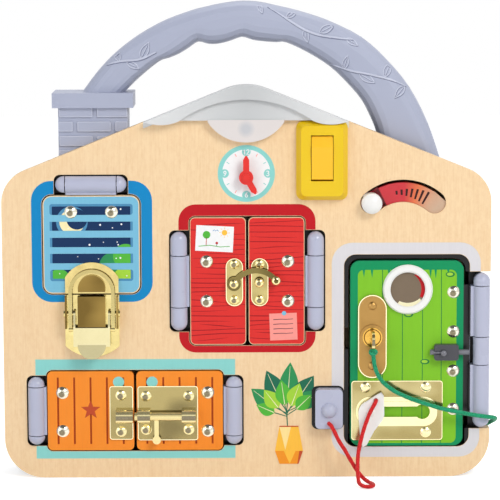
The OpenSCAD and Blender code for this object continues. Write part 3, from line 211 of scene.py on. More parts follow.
def wood(name, base, dark, contrast=1.0, rough=0.5, coat=0.15, shaded_walls=False):
    """Plywood: long soft bands and fine pores along its grain."""
    base, dark = srgb(*base), srgb(*dark)
    s = Shade(name, rough=rough, coat=coat, spec=0.3)
    bands = s.noise(s.scaled(60, 60, 6), detail=6, rough=0.62, warp=1.2)
    pores = s.noise(s.scaled(1100, 700, 60), detail=2)
    flecks = s.noise(s.scaled(420, 300, 240), detail=3, rough=0.7)
    wide = s.noise(s.scaled(9, 9, 5), detail=2)
    col = s.mix(s.times(bands, 0.22 * contrast), base, dark)
    col = s.mix(s.times(wide, 0.22 * contrast), col, shift(base, 1.05))
    col = s.mix(0.12 * contrast, col, s.ramp(pores, [(0.35, dark), (0.6, WHITE)]), "MULTIPLY")
    col = s.mix(0.14 * contrast, col, s.ramp(flecks, [(0.36, dark), (0.62, WHITE)]), "MULTIPLY")
    if shaded_walls:
        # Painted shade: the walls of the doors' cut-outs are near black; the board's rim and the slider's
        # slot aren't.
        x, _, z = s.split(s.coord)
        off = s.math("ABSOLUTE", s.math("SUBTRACT", x, 0.00325))
        roof = s.math("MULTIPLY_ADD", s.math("ABSOLUTE", x), 0.404, z)
        steep = s.below(s.math("ABSOLUTE", s.split(s.facing)[1]), 0.5)
        inside = s.times(s.below(off, 0.15475), s.below(roof, 0.2628))
        inside = s.times(inside, s.math("GREATER_THAN", z, 0.009))
        slider = s.times(s.math("GREATER_THAN", x, 0.06), s.math("GREATER_THAN", z, 0.165))
        inside = s.times(inside, s.math("SUBTRACT", 1.0, slider))
        col = s.mix(s.times(inside, steep), col, srgb(44, 34, 28))
    s.color(col)
    s.rough(pores, rough - 0.05, rough + 0.08)
    s.bump(s.math("ADD", s.times(pores, 0.6), bands), 0.12, 0.0002)
    return s.mat


def paint(name, base, rough=0.46, coat=0.03, grain=True, vary=0.05):
    """Printed or painted plywood: even colour over a faint grain."""
    base = srgb(*base)
    s = Shade(name, rough=rough, coat=coat, spec=0.2)
    fine = s.noise(s.scaled(900, 500, 60) if grain else s.scaled(300, 300, 300), detail=3)
    wide = s.noise(s.scaled(20, 20, 9), detail=2)
    col = s.mix(fine, shift(base, 1 - vary), shift(base, 1 + vary))
    col = s.mix(s.times(wide, 0.12), col, shift(base, 0.8))
    s.color(col)
    s.rough(fine, rough - 0.04, rough + 0.06)
    s.bump(fine, 0.08, 0.00015)
    return s.mat


def plastic(name, base, rough=0.35, coat=0.1, texture=0.05, vary=0.03, scale=1400, spec=0.4):
    """Moulded plastic: fine skin texture and a slightly uneven gloss."""
    base = srgb(*base)
    s = Shade(name, rough=rough, coat=coat, spec=spec)
    skin = s.noise(s.scaled(scale, scale, scale), detail=2)
    cloud = s.noise(s.scaled(28, 28, 28), detail=3)
    s.color(s.mix(cloud, shift(base, 1 - vary), shift(base, 1 + vary)))
    s.rough(cloud, max(rough - 0.05, 0.03), rough + 0.07)
    s.bump(skin, texture, 0.0001)
    return s.mat


def metal(name, base, dark, rough=0.25, tarnish_and_reflection=0.35, flat=None, above=False, level=2.35, dome_reflection=None,
          full=1.0):
    """Stamped metal: draw lines and cloudy tarnish, which where strong also stands in as painted
    reflection.
    With flat, the forward faces below a depth (or above it) get duller, darker tones: painted reflection of
    the dark room; level is that depth in mm forward of the board's face.
    With tones for domes, the middles of domes are darker: painted reflection. full is how much of the
    surface is metal."""
    base, dark = srgb(*base), srgb(*dark)
    s = Shade(name, rough=rough, metal=full)
    lines = s.noise(s.scaled(120, 900, 2600), detail=2)
    cloud = s.noise(s.scaled(90, 90, 90), detail=4, rough=0.6)
    spark = s.noise(s.scaled(1700, 1700, 1700), detail=3, rough=0.7)
    # Cloudy tarnish toward the dark colour; at high values it is also painted reflection, dark patches like
    # those polished brass mirrors.
    col = s.mix(s.times(cloud, tarnish_and_reflection), base, dark)
    col = s.mix(s.times(lines, 0.2), col, shift(base, 1.1))
    s.rough(cloud, rough - 0.06, rough + 0.12)
    # Painted reflection: forward faces at the chosen depths take duller, darker tones, for the dark room
    # mirrored in flat brass.
    if flat:
        broad = s.noise(s.scaled(24, 24, 46), detail=1)
        low, high, fleck = (srgb(*c) for c in flat)
        tone = s.mix(s.times(spark, 0.5), s.ramp(broad, [(0.4, low), (0.62, high)]), fleck)
        depth = s.times(s.split(s.coord)[1], -1000.0)
        ahead = s.below(s.split(s.facing)[1], -0.9)
        face = s.math("GREATER_THAN" if above else "LESS_THAN", depth, FRONT_MM + level)
        col = s.mix(s.times(face, ahead), col, tone)
    if dome_reflection:
        # Painted reflection: the middle of a domed head is darkened, for the dark of the room that it
        # mirrors.
        nx, ny, nz = s.split(s.facing)
        dot = s.math("ADD", s.times(ny, -0.985), s.times(nz, -0.12))
        dot = s.math("ADD", dot, s.times(nx, -0.1))
        dot = s.math("ADD", dot, s.times(s.math("SUBTRACT", spark, 0.5), 0.05))
        middle = s.ramp(dot, [(0.9, (0, 0, 0)), (0.955, (1, 1, 1))])
        if flat:
            middle = s.times(middle, s.math("SUBTRACT", 1.0, face))
        col = s.mix(middle, col, s.mix(spark, srgb(*dome_reflection[0]), srgb(*dome_reflection[1])))
    s.color(col)
    s.bump(s.math("ADD", lines, spark), 0.07, 0.0001)
    return s.mat


m_birch = wood("birch", (242, 213, 172), (220, 184, 134), coat=0.04)
m_front = wood("front_birch", (242, 213, 172), (220, 184, 134), coat=0.04, shaded_walls=True)
m_back = wood("back_wood", (226, 200, 158), (190, 158, 112), 1.2)
m_case = plastic("case_black", (18, 17, 19), rough=0.3, coat=0.04, texture=0.04, spec=0.25)
m_lilac = plastic("lilac", (166, 171, 191), rough=0.42, coat=0.03, texture=0.12, scale=1000)
m_pale_lilac = plastic("brick_highlight_lilac", (192, 196, 212), rough=0.4, coat=0.04)
# Painted highlight: the vine's relief is lighter than the handle's lilac.
m_vine = plastic("vine_highlight_lilac", (190, 194, 211), rough=0.4, coat=0.04)
m_vine_shade = plastic("vine_shade", (122, 127, 150), rough=0.5, coat=0.0)
m_hinge = plastic("hinge_lilac", (178, 181, 202), rough=0.26, coat=0.15, texture=0.03)
# Painted reflection: the dark and light tones for the middles of domed heads.
DOME_REFLECTION = ((84, 76, 60), (160, 150, 122))
m_screw = metal("screw_head", (232, 228, 210), (196, 190, 166), 0.1, tarnish_and_reflection=0.3, dome_reflection=DOME_REFLECTION)
m_steel = metal("steel", (206, 206, 212), (140, 140, 150), 0.26)
# Painted reflection: low, high and fleck tones for the flat faces of the plates and of the latch.
PLATE_REFLECTION = ((112, 96, 52), (196, 180, 122), (176, 158, 100))
LATCH_REFLECTION = ((100, 80, 38), (150, 124, 66), (128, 104, 56))
m_brass = metal("bright_brass", (240, 226, 164), (206, 180, 108), 0.14, tarnish_and_reflection=0.5, flat=PLATE_REFLECTION,
                dome_reflection=DOME_REFLECTION)
m_slotted = metal("slotted_brass", (244, 234, 186), (212, 192, 132), 0.16, tarnish_and_reflection=0.4,
                  flat=((150, 134, 84), (208, 196, 146), (190, 176, 124)))
m_arm = metal("hook_brass", (246, 234, 180), (210, 186, 112), 0.12, tarnish_and_reflection=0.4,
              flat=((84, 74, 42), (128, 114, 68), (104, 92, 54)), above=True, level=2.3)
m_bolt = metal("bolt_brass", (244, 232, 178), (206, 182, 112), 0.14, tarnish_and_reflection=0.4,
               flat=((84, 72, 38), (156, 140, 88), (200, 184, 128)), dome_reflection=DOME_REFLECTION, full=0.85)
m_rod = metal("bolt_rod_brass", (232, 216, 158), (204, 182, 118), 0.2, tarnish_and_reflection=0.4, full=0.75)
# Painted highlight: the bright metal along the brass plates' edges.
m_edge_highlight = metal("edge_highlight_brass", (250, 240, 200), (228, 208, 150), 0.12, tarnish_and_reflection=0.3)
m_bronze = metal("old_brass", (232, 216, 150), (150, 124, 60), 0.1, tarnish_and_reflection=0.7)
m_base = metal("latch_brass", (232, 216, 150), (150, 124, 60), 0.1, tarnish_and_reflection=0.7, flat=LATCH_REFLECTION,
               above=True, level=6.95)
m_strike = metal("strike_brass", (230, 212, 146), (150, 122, 60), 0.1, tarnish_and_reflection=0.9, flat=LATCH_REFLECTION,
                 above=True, level=4.6)
m_lever = metal("lever_brass", (214, 204, 160), (196, 182, 128), 0.18, tarnish_and_reflection=0.4)
m_satin = metal("satin_brass", (176, 138, 80), (150, 112, 58), 0.34, tarnish_and_reflection=0.5)
m_gold = metal("gold_plug", (230, 182, 90), (176, 124, 48), 0.18, tarnish_and_reflection=0.5)
m_groove_shade = metal("plug_groove_shade", (120, 84, 36), (92, 62, 26), 0.3)
m_yellow = plastic("yellow", (230, 192, 8), rough=0.32, coat=0.05)
m_amber = plastic("amber", (244, 188, 24), rough=0.28, coat=0.08)
m_red = plastic("red_plastic", (222, 40, 32), rough=0.32, coat=0.05)
m_white = plastic("white_plastic", (236, 235, 232), rough=0.34, coat=0.2, vary=0.015)
m_dark = plastic("dark_plastic", (64, 64, 70), rough=0.4)
m_grey = plastic("grey_plastic", (112, 112, 120), rough=0.42, vary=0.06)
m_board = plastic("circuit_white", (226, 226, 218), rough=0.4)
m_battery = metal("battery_jacket", (196, 126, 62), (120, 72, 30), 0.3)
m_wire = plastic("wire_red", (190, 36, 34), rough=0.4)


def lamp_shade():
    """Milky plastic with painted shade: darker towards the middle of the cover, and darker round a spot
    near the top of the lobe, warm further out.
    """
    s = Shade("lamp_grey", rough=0.34, coat=0.06, spec=0.4)
    cloud = s.noise(s.scaled(22, 22, 22), detail=2)
    x, _, z = s.split(s.coord)
    side = s.times(s.math("ABSOLUTE", x), 17.0)
    # Painted shade: the band is darker towards its middle.
    shell = s.mix(side, srgb(184, 186, 187), srgb(212, 213, 213))
    lobe = s.below(z, 0.2446)
    dx = s.times(x, 150.0)
    dz = s.times(s.math("SUBTRACT", z, 0.2385), 150.0)
    near = s.math("SQRT", s.math("ADD", s.times(dx, dx), s.times(dz, dz)))
    # Painted shade: the lobe is darker round a spot near its top, lighter and warm further out.
    lobe_shade_and_tint = s.ramp(near, [(0.35, srgb(186, 186, 190)), (0.95, srgb(214, 206, 203))])
    middle = s.below(s.math("ABSOLUTE", x), 0.0275)
    col = s.mix(s.times(lobe, middle), shell, lobe_shade_and_tint)
    s.color(s.mix(s.times(cloud, 0.12), col, WHITE))
    s.bump(s.noise(s.scaled(900, 900, 900)), 0.03, 0.0001)
    return s.mat


def cloth(name, base, dark):
    """A braided cord: strands that cross each other."""
    base, dark = srgb(*base), srgb(*dark)
    s = Shade(name, rough=0.8, sheen=0.3, spec=0.2)
    cell = s.new("ShaderNodeTexVoronoi", feature="F1")
    cell.inputs["Scale"].default_value = 1.0
    s.link(s.scaled(1300, 1300, 1300), cell.inputs["Vector"])
    fuzz = s.noise(s.scaled(4200, 4200, 4200), detail=2)
    s.color(s.mix(cell.outputs["Distance"], base, dark))
    s.bump(s.math("SUBTRACT", fuzz, s.times(cell.outputs["Distance"], 1.6)), 0.6, 0.0003)
    return s.mat


def strip_paint():
    """The slider's strip: red that runs through orange to bare wood along its arc."""
    s = Shade("strip", rough=0.36, coat=0.2)
    x, _, z = s.split(s.coord)
    turn = s.math("ARCTAN2", s.math("SUBTRACT", x, 0.1056), s.math("SUBTRACT", z, 0.1638))
    along = s.math("MULTIPLY_ADD", turn, 0.6, 0.5)
    col = s.ramp(along, [(0.0, srgb(196, 26, 44)), (0.52, srgb(200, 32, 44)), (0.68, srgb(222, 112, 60)),
                         (0.88, srgb(206, 160, 128)), (1.0, srgb(200, 168, 140))])
    fine = s.noise(s.scaled(700, 700, 700), detail=3)
    s.color(s.mix(s.times(fine, 0.12), col, (0.3, 0.2, 0.15, 1), "MULTIPLY"))
    s.rough(fine, 0.3, 0.42)
    s.bump(fine, 0.05, 0.0001)
    return s.mat


def dark_web():
    """The green door's hinge: lilac knuckles on a black plate."""
    s = Shade("hinge_two_tone", rough=0.28, coat=0.08, spec=0.4)
    cloud = s.noise(s.scaled(28, 28, 28), detail=3)
    tone = s.mix(cloud, srgb(174, 177, 198), srgb(182, 185, 206))
    inner = s.below(s.split(s.coord)[0], 0.1515)
    s.color(s.mix(inner, tone, srgb(20, 19, 21)))
    s.rough(cloud, 0.24, 0.36)
    s.bump(s.noise(s.scaled(1400, 1400, 1400)), 0.03, 0.0001)
    return s.mat


m_web = dark_web()
m_lamp = lamp_shade()
m_strip = strip_paint()
m_red_cord = cloth("red_cord", (240, 50, 50), (176, 20, 26))
m_green_cord = cloth("green_cord", (48, 184, 132), (16, 112, 78))


def plank_paint(name, base, groove):
    """Painted planks: pale clouds, and painted shade on the floors of the cut grooves."""
    base, groove = srgb(*base), srgb(*groove)
    s = Shade(name, rough=0.46, coat=0.03, spec=0.2)
    fine = s.noise(s.scaled(900, 500, 60), detail=3)
    wide = s.noise(s.scaled(34, 20, 7), detail=3, rough=0.6)
    col = s.mix(fine, shift(base, 0.94), shift(base, 1.06))
    col = s.mix(s.times(wide, 0.42), col, srgb(252, 172, 76))
    depth = s.times(s.split(s.coord)[1], -1000.0)
    # Painted shade: forward faces less than 0.75 mm forward of the board's face, the grooves' floors, take
    # the darker groove colour.
    low = s.times(s.below(depth, FRONT_MM + 0.75), s.below(s.split(s.facing)[1], -0.9))
    s.color(s.mix(low, col, groove))
    s.rough(fine, 0.42, 0.52)
    s.bump(fine, 0.08, 0.00015)
    return s.mat


m_orange = plank_paint("orange_door", (240, 130, 28), (176, 74, 22))
m_leaf_green = paint("green_door", (18, 132, 86))

FINISH = (
    (m_front, "front_board"),
    (m_case, "case_shell battery_box battery_door"),
    (m_back, "back_panel"),
    (m_steel, "back_screws hinge_pins"),
    (m_lilac, "handle chimney"),
    (m_lamp, "lamp_cover"),
    (m_board, "led_board"),
    (m_battery, "batteries"),
    (m_yellow, "switch_bezel"),
    (m_amber, "switch_rocker"),
    (m_wire, "lamp_wires"),
    (m_red, "clock_pin hour_hand minute_hand"),
    (m_strip, "slider_strip"),
    (m_white, "slider_knob peephole_ring cord_tab"),
    (m_hinge, "hinge_knuckles window_leaf red_leaf_left red_leaf_right orange_leaf_left "
              "orange_leaf_right cord_block"),
    (m_base, "latch_base"),
    (m_lever, "latch_lever"),
    (m_bronze, "latch_bail"),
    (m_strike, "latch_strike"),
    (m_birch, "window_flap red_door_left red_door_right"),
    (m_screw, "window_screws red_screws_left red_screws_right orange_screws_left orange_screws_right "
              "green_screws"),
    (m_brass, "hook_plate hook_keeper door_key"),
    (m_arm, "hook_arm"),
    (m_orange, "orange_door_left orange_door_right"),
    (m_bolt, "bolt_keeper bolt_plate"),
    (m_rod, "bolt_rod"),
    (m_leaf_green, "green_door"),
    (m_web, "green_leaf"),
    (m_satin, "lock_plate"),
    (m_gold, "lock_plug"),
    (m_slotted, "slotted_plate"),
    (m_dark, "side_bolt_guide"),
    (m_grey, "side_bolt_rod"),
    (m_red_cord, "red_cord"),
    (m_green_cord, "green_cord"))
for finish, names in FINISH:
    for name in names.split():
        obj = NODES[name]
        if not obj.material_slots:
            obj.data.materials.append(finish)
        for s in obj.material_slots:
            s.material = finish


# ---- Mesh helpers -----------------------------------------------------------
def add_mesh(name, verts, faces, material, body, smooth=False):
    data = bpy.data.meshes.new(name)
    data.from_pydata([tuple(v) for v in verts], [], faces)
    data.validate()
    data.update()
    obj = bpy.data.objects.new(name, data)
    scene.collection.objects.link(obj)
    data.materials.append(material)
    if smooth:
        data.polygons.foreach_set("use_smooth", [True] * len(data.polygons))
    if body:
        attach(obj, body)
    return obj


def smooth_path(points, steps):
    """Catmull-Rom points through the given ones."""
    p = [Vector(q) for q in points]
    p = [2 * p[0] - p[1]] + p + [2 * p[-1] - p[-2]]
    out = []
    for i in range(1, len(p) - 2):
        a, b, c, d = p[i - 1], p[i], p[i + 1], p[i + 2]
        for k in range(steps):
            t = k / steps
            out.append(0.5 * (2 * b + (c - a) * t + (2 * a - 5 * b + 4 * c - d) * t * t
                              + (3 * b - a - 3 * c + d) * t ** 3))
    out.append(p[-2])
    return out


def frames_along(path):
    out = []
    ref = Vector((1, 0, 0))
    for i, p in enumerate(path):
        t = (path[min(i + 1, len(path) - 1)] - path[max(i - 1, 0)]).normalized()
        u = (ref - ref.dot(t) * t).normalized()
        ref = u
        out.append((p, u, t.cross(u)))
    return out


def braid(name, points, radius, material, body, strands=4, pitch=0.0065, steps=10, sides=20):
    """A round braid: strands that wind both ways show as crossed ridges on one tube."""
    path = smooth_path(points, steps)
    rings = frames_along(path)
    length = 0.0
    verts, faces = [], []
    for i, (p, u, w) in enumerate(rings):
        if i:
            length += (p - path[i - 1]).length
        for k in range(sides):
            a = 2 * math.pi * k / sides
            turn = 2 * math.pi * length / pitch
            ridge = max(math.cos(strands * a + turn), math.cos(strands * a - turn))
            r = radius * (0.93 + 0.07 * ridge)
            verts.append(p + r * (math.cos(a) * u + math.sin(a) * w))
    n = len(rings)
    for i in range(n - 1):
        for k in range(sides):
            a, b = i * sides + k, i * sides + (k + 1) % sides
            faces.append((a, b, b + sides, a + sides))
    faces.append(tuple(reversed(range(sides))))
    faces.append(tuple((n - 1) * sides + k for k in range(sides)))
    obj = add_mesh(name, verts, faces, material, body, smooth=True)
    return obj, path, length


green_x = 108.4
lock_x = green_x - 23.35
lock_z = 96.7
tab_x = green_x - 6.5 + 17.2 - 2.8 - 32
slot_z = 85.2 - 39.6
block_x = 55.6
red_points = [place(*q) for q in [
    (block_x, 8.2, 38.6), (block_x, 9.6, 38.6), (57, 11.4, 37.4), (59, 13, 34), (62, 15, 28),
    (66, 17, 22), (70, 18, 15), (74.5, 19.5, 8), (78.5, 22, 3.6), (82, 26, 1.9), (84.4, 31, 1.6),
    (84, 35.5, 1.6), (81, 38, 1.6), (77.5, 36.5, 1.7), (75, 32, 3), (74.4, 27, 7), (74.4, 22, 13),
    (75, 18, 20), (76.5, 15.2, 27), (78.5, 13, 34), (80.6, 11.6, 40), (83, 10.6, 46),
    (85.4, 9.8, 50.4), (tab_x + 3, 8.6, slot_z + 8.2), (tab_x + 3, 7, slot_z + 8.4),
    (tab_x + 3, 5, slot_z + 8.4)]]
green_points = [place(*q) for q in [
    (lock_x, 15, lock_z - 6.4), (lock_x, 15, 87.5), (85.6, 14.6, 82),
    (87, 13.6, 76), (90, 12.6, 70), (94, 11.6, 65.5), (100, 10.6, 61), (107, 9.6, 57.4),
    (114, 9, 54.5), (122, 8.8, 51.8), (131, 9, 49), (140, 9.2, 47), (148, 9.4, 45.4),
    (155, 9.6, 44.2), (161, 9.4, 43.3), (165.6, 7.6, 42.4), (168.2, 4, 41.2), (169, -1, 39.6),
    (168.4, -6, 37.8), (166.6, -10.5, 35.6), (164, -14.2, 33.4), (162, -16, 32.2),
    (160.4, -16.4, 32), (159.05, -16.4, 32)]]
cord_a, path_a, len_a = braid("red_cord_braid", red_points, 0.0014, m_red_cord, "house")
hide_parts("red_cord")
cord_b, path_b, len_b = braid("green_cord_braid", green_points, 0.0015, m_green_cord, "house")
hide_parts("green_cord")
knot_points = [place(lock_x + 2.1 * math.cos(t), 15.6 + 0.9 * math.sin(2 * t), 88.8 + 1.5 * math.sin(t))
               for t in (2 * math.pi * k / 9 for k in range(10))]
knot, _, _ = braid("green_cord_knot", knot_points, 0.0011, m_green_cord, "house", steps=6)

# ---- Prints -------------------------------------------------------------------
# The prints are thin plates on the boards. Their outlines are lists of (x, z) in mm.
GRID_X, GRID_Z = 0.675, 0.681    # a grid over the front, in mm; the base's middle is at 245.5, 479


def seen(across, down):
    """The x and the seen height, in mm, of a point on the grid."""
    return (across - 245.5) * GRID_X, (479 - down) * GRID_Z


def rounded(x0, z0, x1, z1, r, n=9):
    out = []
    for cx, cz, a0 in ((x1 - r, z1 - r, 0), (x0 + r, z1 - r, 90),
                       (x0 + r, z0 + r, 180), (x1 - r, z0 + r, 270)):
        if r <= 0:
            out.append((cx, cz))
            continue
        for k in range(n):
            a = math.radians(a0 + 90 * k / (n - 1))
            out.append((cx + r * math.cos(a), cz + r * math.sin(a)))
    return out


def centred(x, z, w, h, r):
    return rounded(x - w / 2, z - h / 2, x + w / 2, z + h / 2, r)


def turned(outline, x, z, degrees):
    c, s = math.cos(math.radians(degrees)), math.sin(math.radians(degrees))
    return [(x + (px - x) * c - (pz - z) * s, z + (px - x) * s + (pz - z) * c) for px, pz in outline]


def disc(x, z, r, n=40, tall=1.0):
    return [(x + r * math.cos(2 * math.pi * k / n), z + tall * r * math.sin(2 * math.pi * k / n))
            for k in range(n)]


def ribbon(points, w0, w1=None, mid=None):
    """A line of given width that runs along points, from w0 to w1 by way of mid."""
    w1 = w0 if w1 is None else w1
    left, right = [], []
    n = len(points)
    for i, (x, z) in enumerate(points):
        ax, az = points[max(i - 1, 0)]
        bx, bz = points[min(i + 1, n - 1)]
        l = math.hypot(bx - ax, bz - az) or 1
        t = i / (n - 1)
        w = w0 + (w1 - w0) * t
        if mid is not None:
            w += (mid - (w0 + w1) / 2) * math.sin(math.pi * t)
        nx, nz = -(bz - az) / l * w / 2, (bx - ax) / l * w / 2
        left.append((x + nx, z + nz))
        right.append((x - nx, z - nz))
    return left + right[::-1]


def polar(x, z, r, degrees):
    """The point r away from (x, z), the angle clockwise from straight up."""
    return x + r * math.sin(math.radians(degrees)), z + r * math.cos(math.radians(degrees))


def arc(x, z, r, a0, a1, n=30):
    """Points on a circle; angles in degrees clockwise from straight up."""
    return [polar(x, z, r, a0 + (a1 - a0) * k / (n - 1)) for k in range(n)]


def leaf(x, z, length, width, turn, n=12):
    """A pointed oval leaf whose stalk end is at (x, z)."""
    side = [(width / 2 * math.sin(math.pi * (k / n) ** 0.8), length * k / n) for k in range(n + 1)]
    out = side + [(-a, b) for a, b in side[-2:0:-1]]
    return turned([(x + a, z + b) for a, b in out], x, z, turn)


def star(x, z, r, inner=0.42):
    return [polar(x, z, r * inner if k % 2 else r, 36 * k) for k in range(10)]


def clip(outline, x0, z0, x1, z1):
    """The part of an outline inside a rectangle."""
    for axis, limit, keep in ((0, x0, 1), (0, x1, -1), (1, z0, 1), (1, z1, -1)):
        out = []
        for i, p in enumerate(outline):
            q = outline[i - 1]
            a, b = (q[axis] - limit) * keep, (p[axis] - limit) * keep
            if (a >= 0) != (b >= 0):
                t = a / (a - b)
                out.append((q[0] + (p[0] - q[0]) * t, q[1] + (p[1] - q[1]) * t))
            if b >= 0:
                out.append(p)
        outline = out
        if len(outline) < 3:
            return []
    return outline


def add_plate(bm, index, loops, d0, d1):
    loops = [[p for i, p in enumerate(q) if math.dist(p, q[i - 1]) > 1e-4] for q in loops]
    flat = [p for q in loops for p in q]
    tris = geometry.tessellate_polygon([[Vector((x, z, 0)) for x, z in q] for q in loops])
    near = [bm.verts.new(place(x, d1, z)) for x, z in flat]
    far = [bm.verts.new(place(x, d0, z)) for x, z in flat]
    faces = []
    for a, b, c in tris:
        faces.append(bm.faces.new((near[a], near[b], near[c])))
        faces.append(bm.faces.new((far[c], far[b], far[a])))
    start = 0
    for q in loops:
        for k in range(len(q)):
            a, b = start + k, start + (k + 1) % len(q)
            faces.append(bm.faces.new((near[a], near[b], far[b], far[a])))
        start += len(q)
    for f in faces:
        f.material_index = index
    bmesh.ops.recalc_face_normals(bm, faces=faces)


def to_object(name, bm, materials):
    data = bpy.data.meshes.new(name)
    bm.to_mesh(data)
    bm.free()
    obj = bpy.data.objects.new(name, data)
    scene.collection.objects.link(obj)
    for m in materials:
        data.materials.append(m)
    return obj


def sheet_of(name, shapes, body, base=0.0, step=0.03, cutters=()):
    """One print: each shape is (material, layer, outline, holes...). Cutters are outlines taken away."""
    bm = bmesh.new()
    materials = []
    for m, layer, *loops in shapes:
        if m not in materials:
            materials.append(m)
        add_plate(bm, materials.index(m), loops, base + 0.005, base + step * (layer + 1))
    obj = to_object(name, bm, materials)
    tools = []
    for k, outline in enumerate(cutters):
        cut = bmesh.new()
        add_plate(cut, 0, [outline], base - 1, base + 2)
        tool = to_object("%s_cut_%d" % (name, k), cut, [])
        mod = obj.modifiers.new("cut", "BOOLEAN")
        mod.operation = "DIFFERENCE"
        mod.solver = "EXACT"
        mod.object = tool
        tools.append(tool)
    if tools:
        solid = bpy.data.meshes.new_from_object(obj.evaluated_get(bpy.context.evaluated_depsgraph_get()))
        obj.modifiers.clear()
        obj.data = solid
        for tool in tools:
            bpy.data.objects.remove(tool)
    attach(obj, body)
    return obj


def ink(name, *color, **values):
    return paint("print_" + name, color, **values)


p_blue = ink("blue", 6, 132, 192)
p_crimson = ink("crimson", 188, 16, 28)
p_teal = ink("teal", 138, 208, 202)
p_grey = ink("grey", 216, 213, 216)
p_sky = ink("sky", 120, 186, 214)
p_slate = ink("slate", 76, 138, 178)
p_navy = ink("navy", 6, 44, 86)
p_leaf = ink("leaf", 82, 178, 60)
p_lime = ink("lime", 160, 208, 62)
p_pine = ink("pine", 44, 140, 82)
p_deep = ink("deep", 30, 104, 78)
p_cream = ink("cream", 244, 236, 196)
p_white = ink("white", 240, 240, 240, grain=False)
p_moon = ink("moon", 246, 232, 178, grain=False)
p_red = ink("red", 218, 48, 44)
p_grain = ink("grain", 150, 20, 28)
p_pink = ink("pink", 246, 152, 142, grain=False)
p_line = ink("line", 84, 54, 66, grain=False)
p_green = ink("green", 126, 192, 40)
p_border = ink("border", 4, 142, 88)
p_dark = ink("dark_green", 30, 124, 62)
p_pot = ink("pot", 250, 190, 66)
p_pot_dark = ink("pot_dark", 240, 148, 38)
p_pot_pale = ink("pot_pale", 252, 224, 150)
p_rust = ink("rust", 188, 74, 40)
p_fur = ink("brown", 122, 106, 88, grain=False)
p_ink = ink("ink", 52, 22, 20, grain=False)

# The board's openings, repeated from the part's source, in mm.
rim = 0.22              # bare wood left along each opening
window_x, window_z = -104.5, 160.4
red_x, red_z = 0.5, 135.2
orange_x, orange_z = -76.0, 46.4
green_z = 85.2


def opening(x, z, w, h, r):
    return centred(x, z, w + 2 * rim, h + 2 * rim, r + rim)


def notch(x, z, side, length):
    """The hinge's notch; side is the way from its axis to the door."""
    a, b = sorted((x - side * (6.5 + rim), x + side * (10.6 + rim)))
    return rounded(a, z - length / 2 - 0.9 - rim, b, z + length / 2 + 0.9 + rim, 4 + rim)


axis_z = window_z + 33.25 + 7.6
window_cuts = [opening(window_x, window_z, 66.8, 68.1, 6.8),
               rounded(window_x - 24.9 - rim, axis_z - 10.6, window_x + 24.9 + rim, axis_z + 6.5 + rim,
                       4 + rim)]
red_cuts = [opening(red_x, red_z, 78.8, 88.4, 4.2),
            notch(red_x - 46.2, red_z, 1, 67.4), notch(red_x + 46.2, red_z, -1, 67.4)]
orange_cuts = [opening(orange_x, orange_z, 120.8, 56.1, 4.2),
               notch(orange_x - 67.2, orange_z, 1, 46.8), notch(orange_x + 67.2, orange_z, -1, 46.8)]
green_cuts = [opening(green_x, green_z + 1.7, 85.0, 132.2, 8),
              rounded(159 - 25, 87.2 - 53.9 - rim, 175, 87.2 + 53.9 + rim, 0)]

sheet_of("window_frame_print", [(p_blue, 0, rounded(-144.9, 121.2, -63.4, 203.6, 13.5))],
         "house", cutters=window_cuts)
sheet_of("red_frame_print", [(p_crimson, 0, rounded(-45.8, 86.2, 46.6, 187.4, 11.5))],
         "house", cutters=red_cuts)
sheet_of("orange_frame_print", [(p_teal, 0, rounded(-143.6, 13.2, -8.0, 81.8, 0))],
         "house", cutters=orange_cuts)
sheet_of("green_frame_print", [(p_grey, 0, rounded(57.6, 13.6, 158.2, 161.0, 14))],
         "house", cutters=green_cuts)

# Clock face with plain numbers.
clock_x, clock_z = 0.1, 208.2
dial = [(p_teal, 0, disc(clock_x, clock_z, 19.2, 72)), (p_white, 1, disc(clock_x, clock_z, 16.2, 72))]
for k in range(12):
    if k % 3:
        tick = [polar(clock_x, clock_z, r, 30 * k) for r in (13.2, 15.2)]
        dial.append((p_pink if k % 2 else p_teal, 2, ribbon(tick, 0.5)))
    else:
        dial.append((p_teal, 2, disc(*polar(clock_x, clock_z, 14.6, 30 * k), 2.9)))
DIGITS = {
    "1": [(-0.7, 1.1), (0.25, 1.9), (0.25, -1.9)],
    "2": [(-1, 1.0), (-0.7, 1.65), (0, 1.9), (0.75, 1.6), (0.95, 0.95), (0.6, 0.2), (-1, -1.8),
          (1.05, -1.8)],
    "3": [(-0.95, 1.4), (-0.3, 1.9), (0.6, 1.7), (0.9, 1.0), (0.5, 0.35), (-0.2, 0.15), (0.6, -0.1),
          (1.0, -0.9), (0.6, -1.7), (-0.3, -1.9), (-1.0, -1.4)],
    "6": [(0.75, 1.8), (0, 1.2), (-0.7, 0.2), (-0.95, -0.8), (-0.6, -1.65), (0, -1.9), (0.65, -1.65),
          (0.95, -0.9), (0.6, -0.2), (0, 0.05), (-0.6, -0.2)],
}
DIGITS["9"] = [(-a, -b) for a, b in DIGITS["6"]]
for text, x, z in (("1", -1.3, 14.4), ("2", 1.1, 14.4), ("3", 14.4, 0), ("6", 0, -14.4), ("9", -14.4, 0)):
    stroke = [(clock_x + x + 0.85 * a, clock_z + z + 0.85 * b) for a, b in DIGITS[text]]
    dial.append((p_white, 3, ribbon(stroke, 0.62)))
sheet_of("clock_face_print", dial, "house")

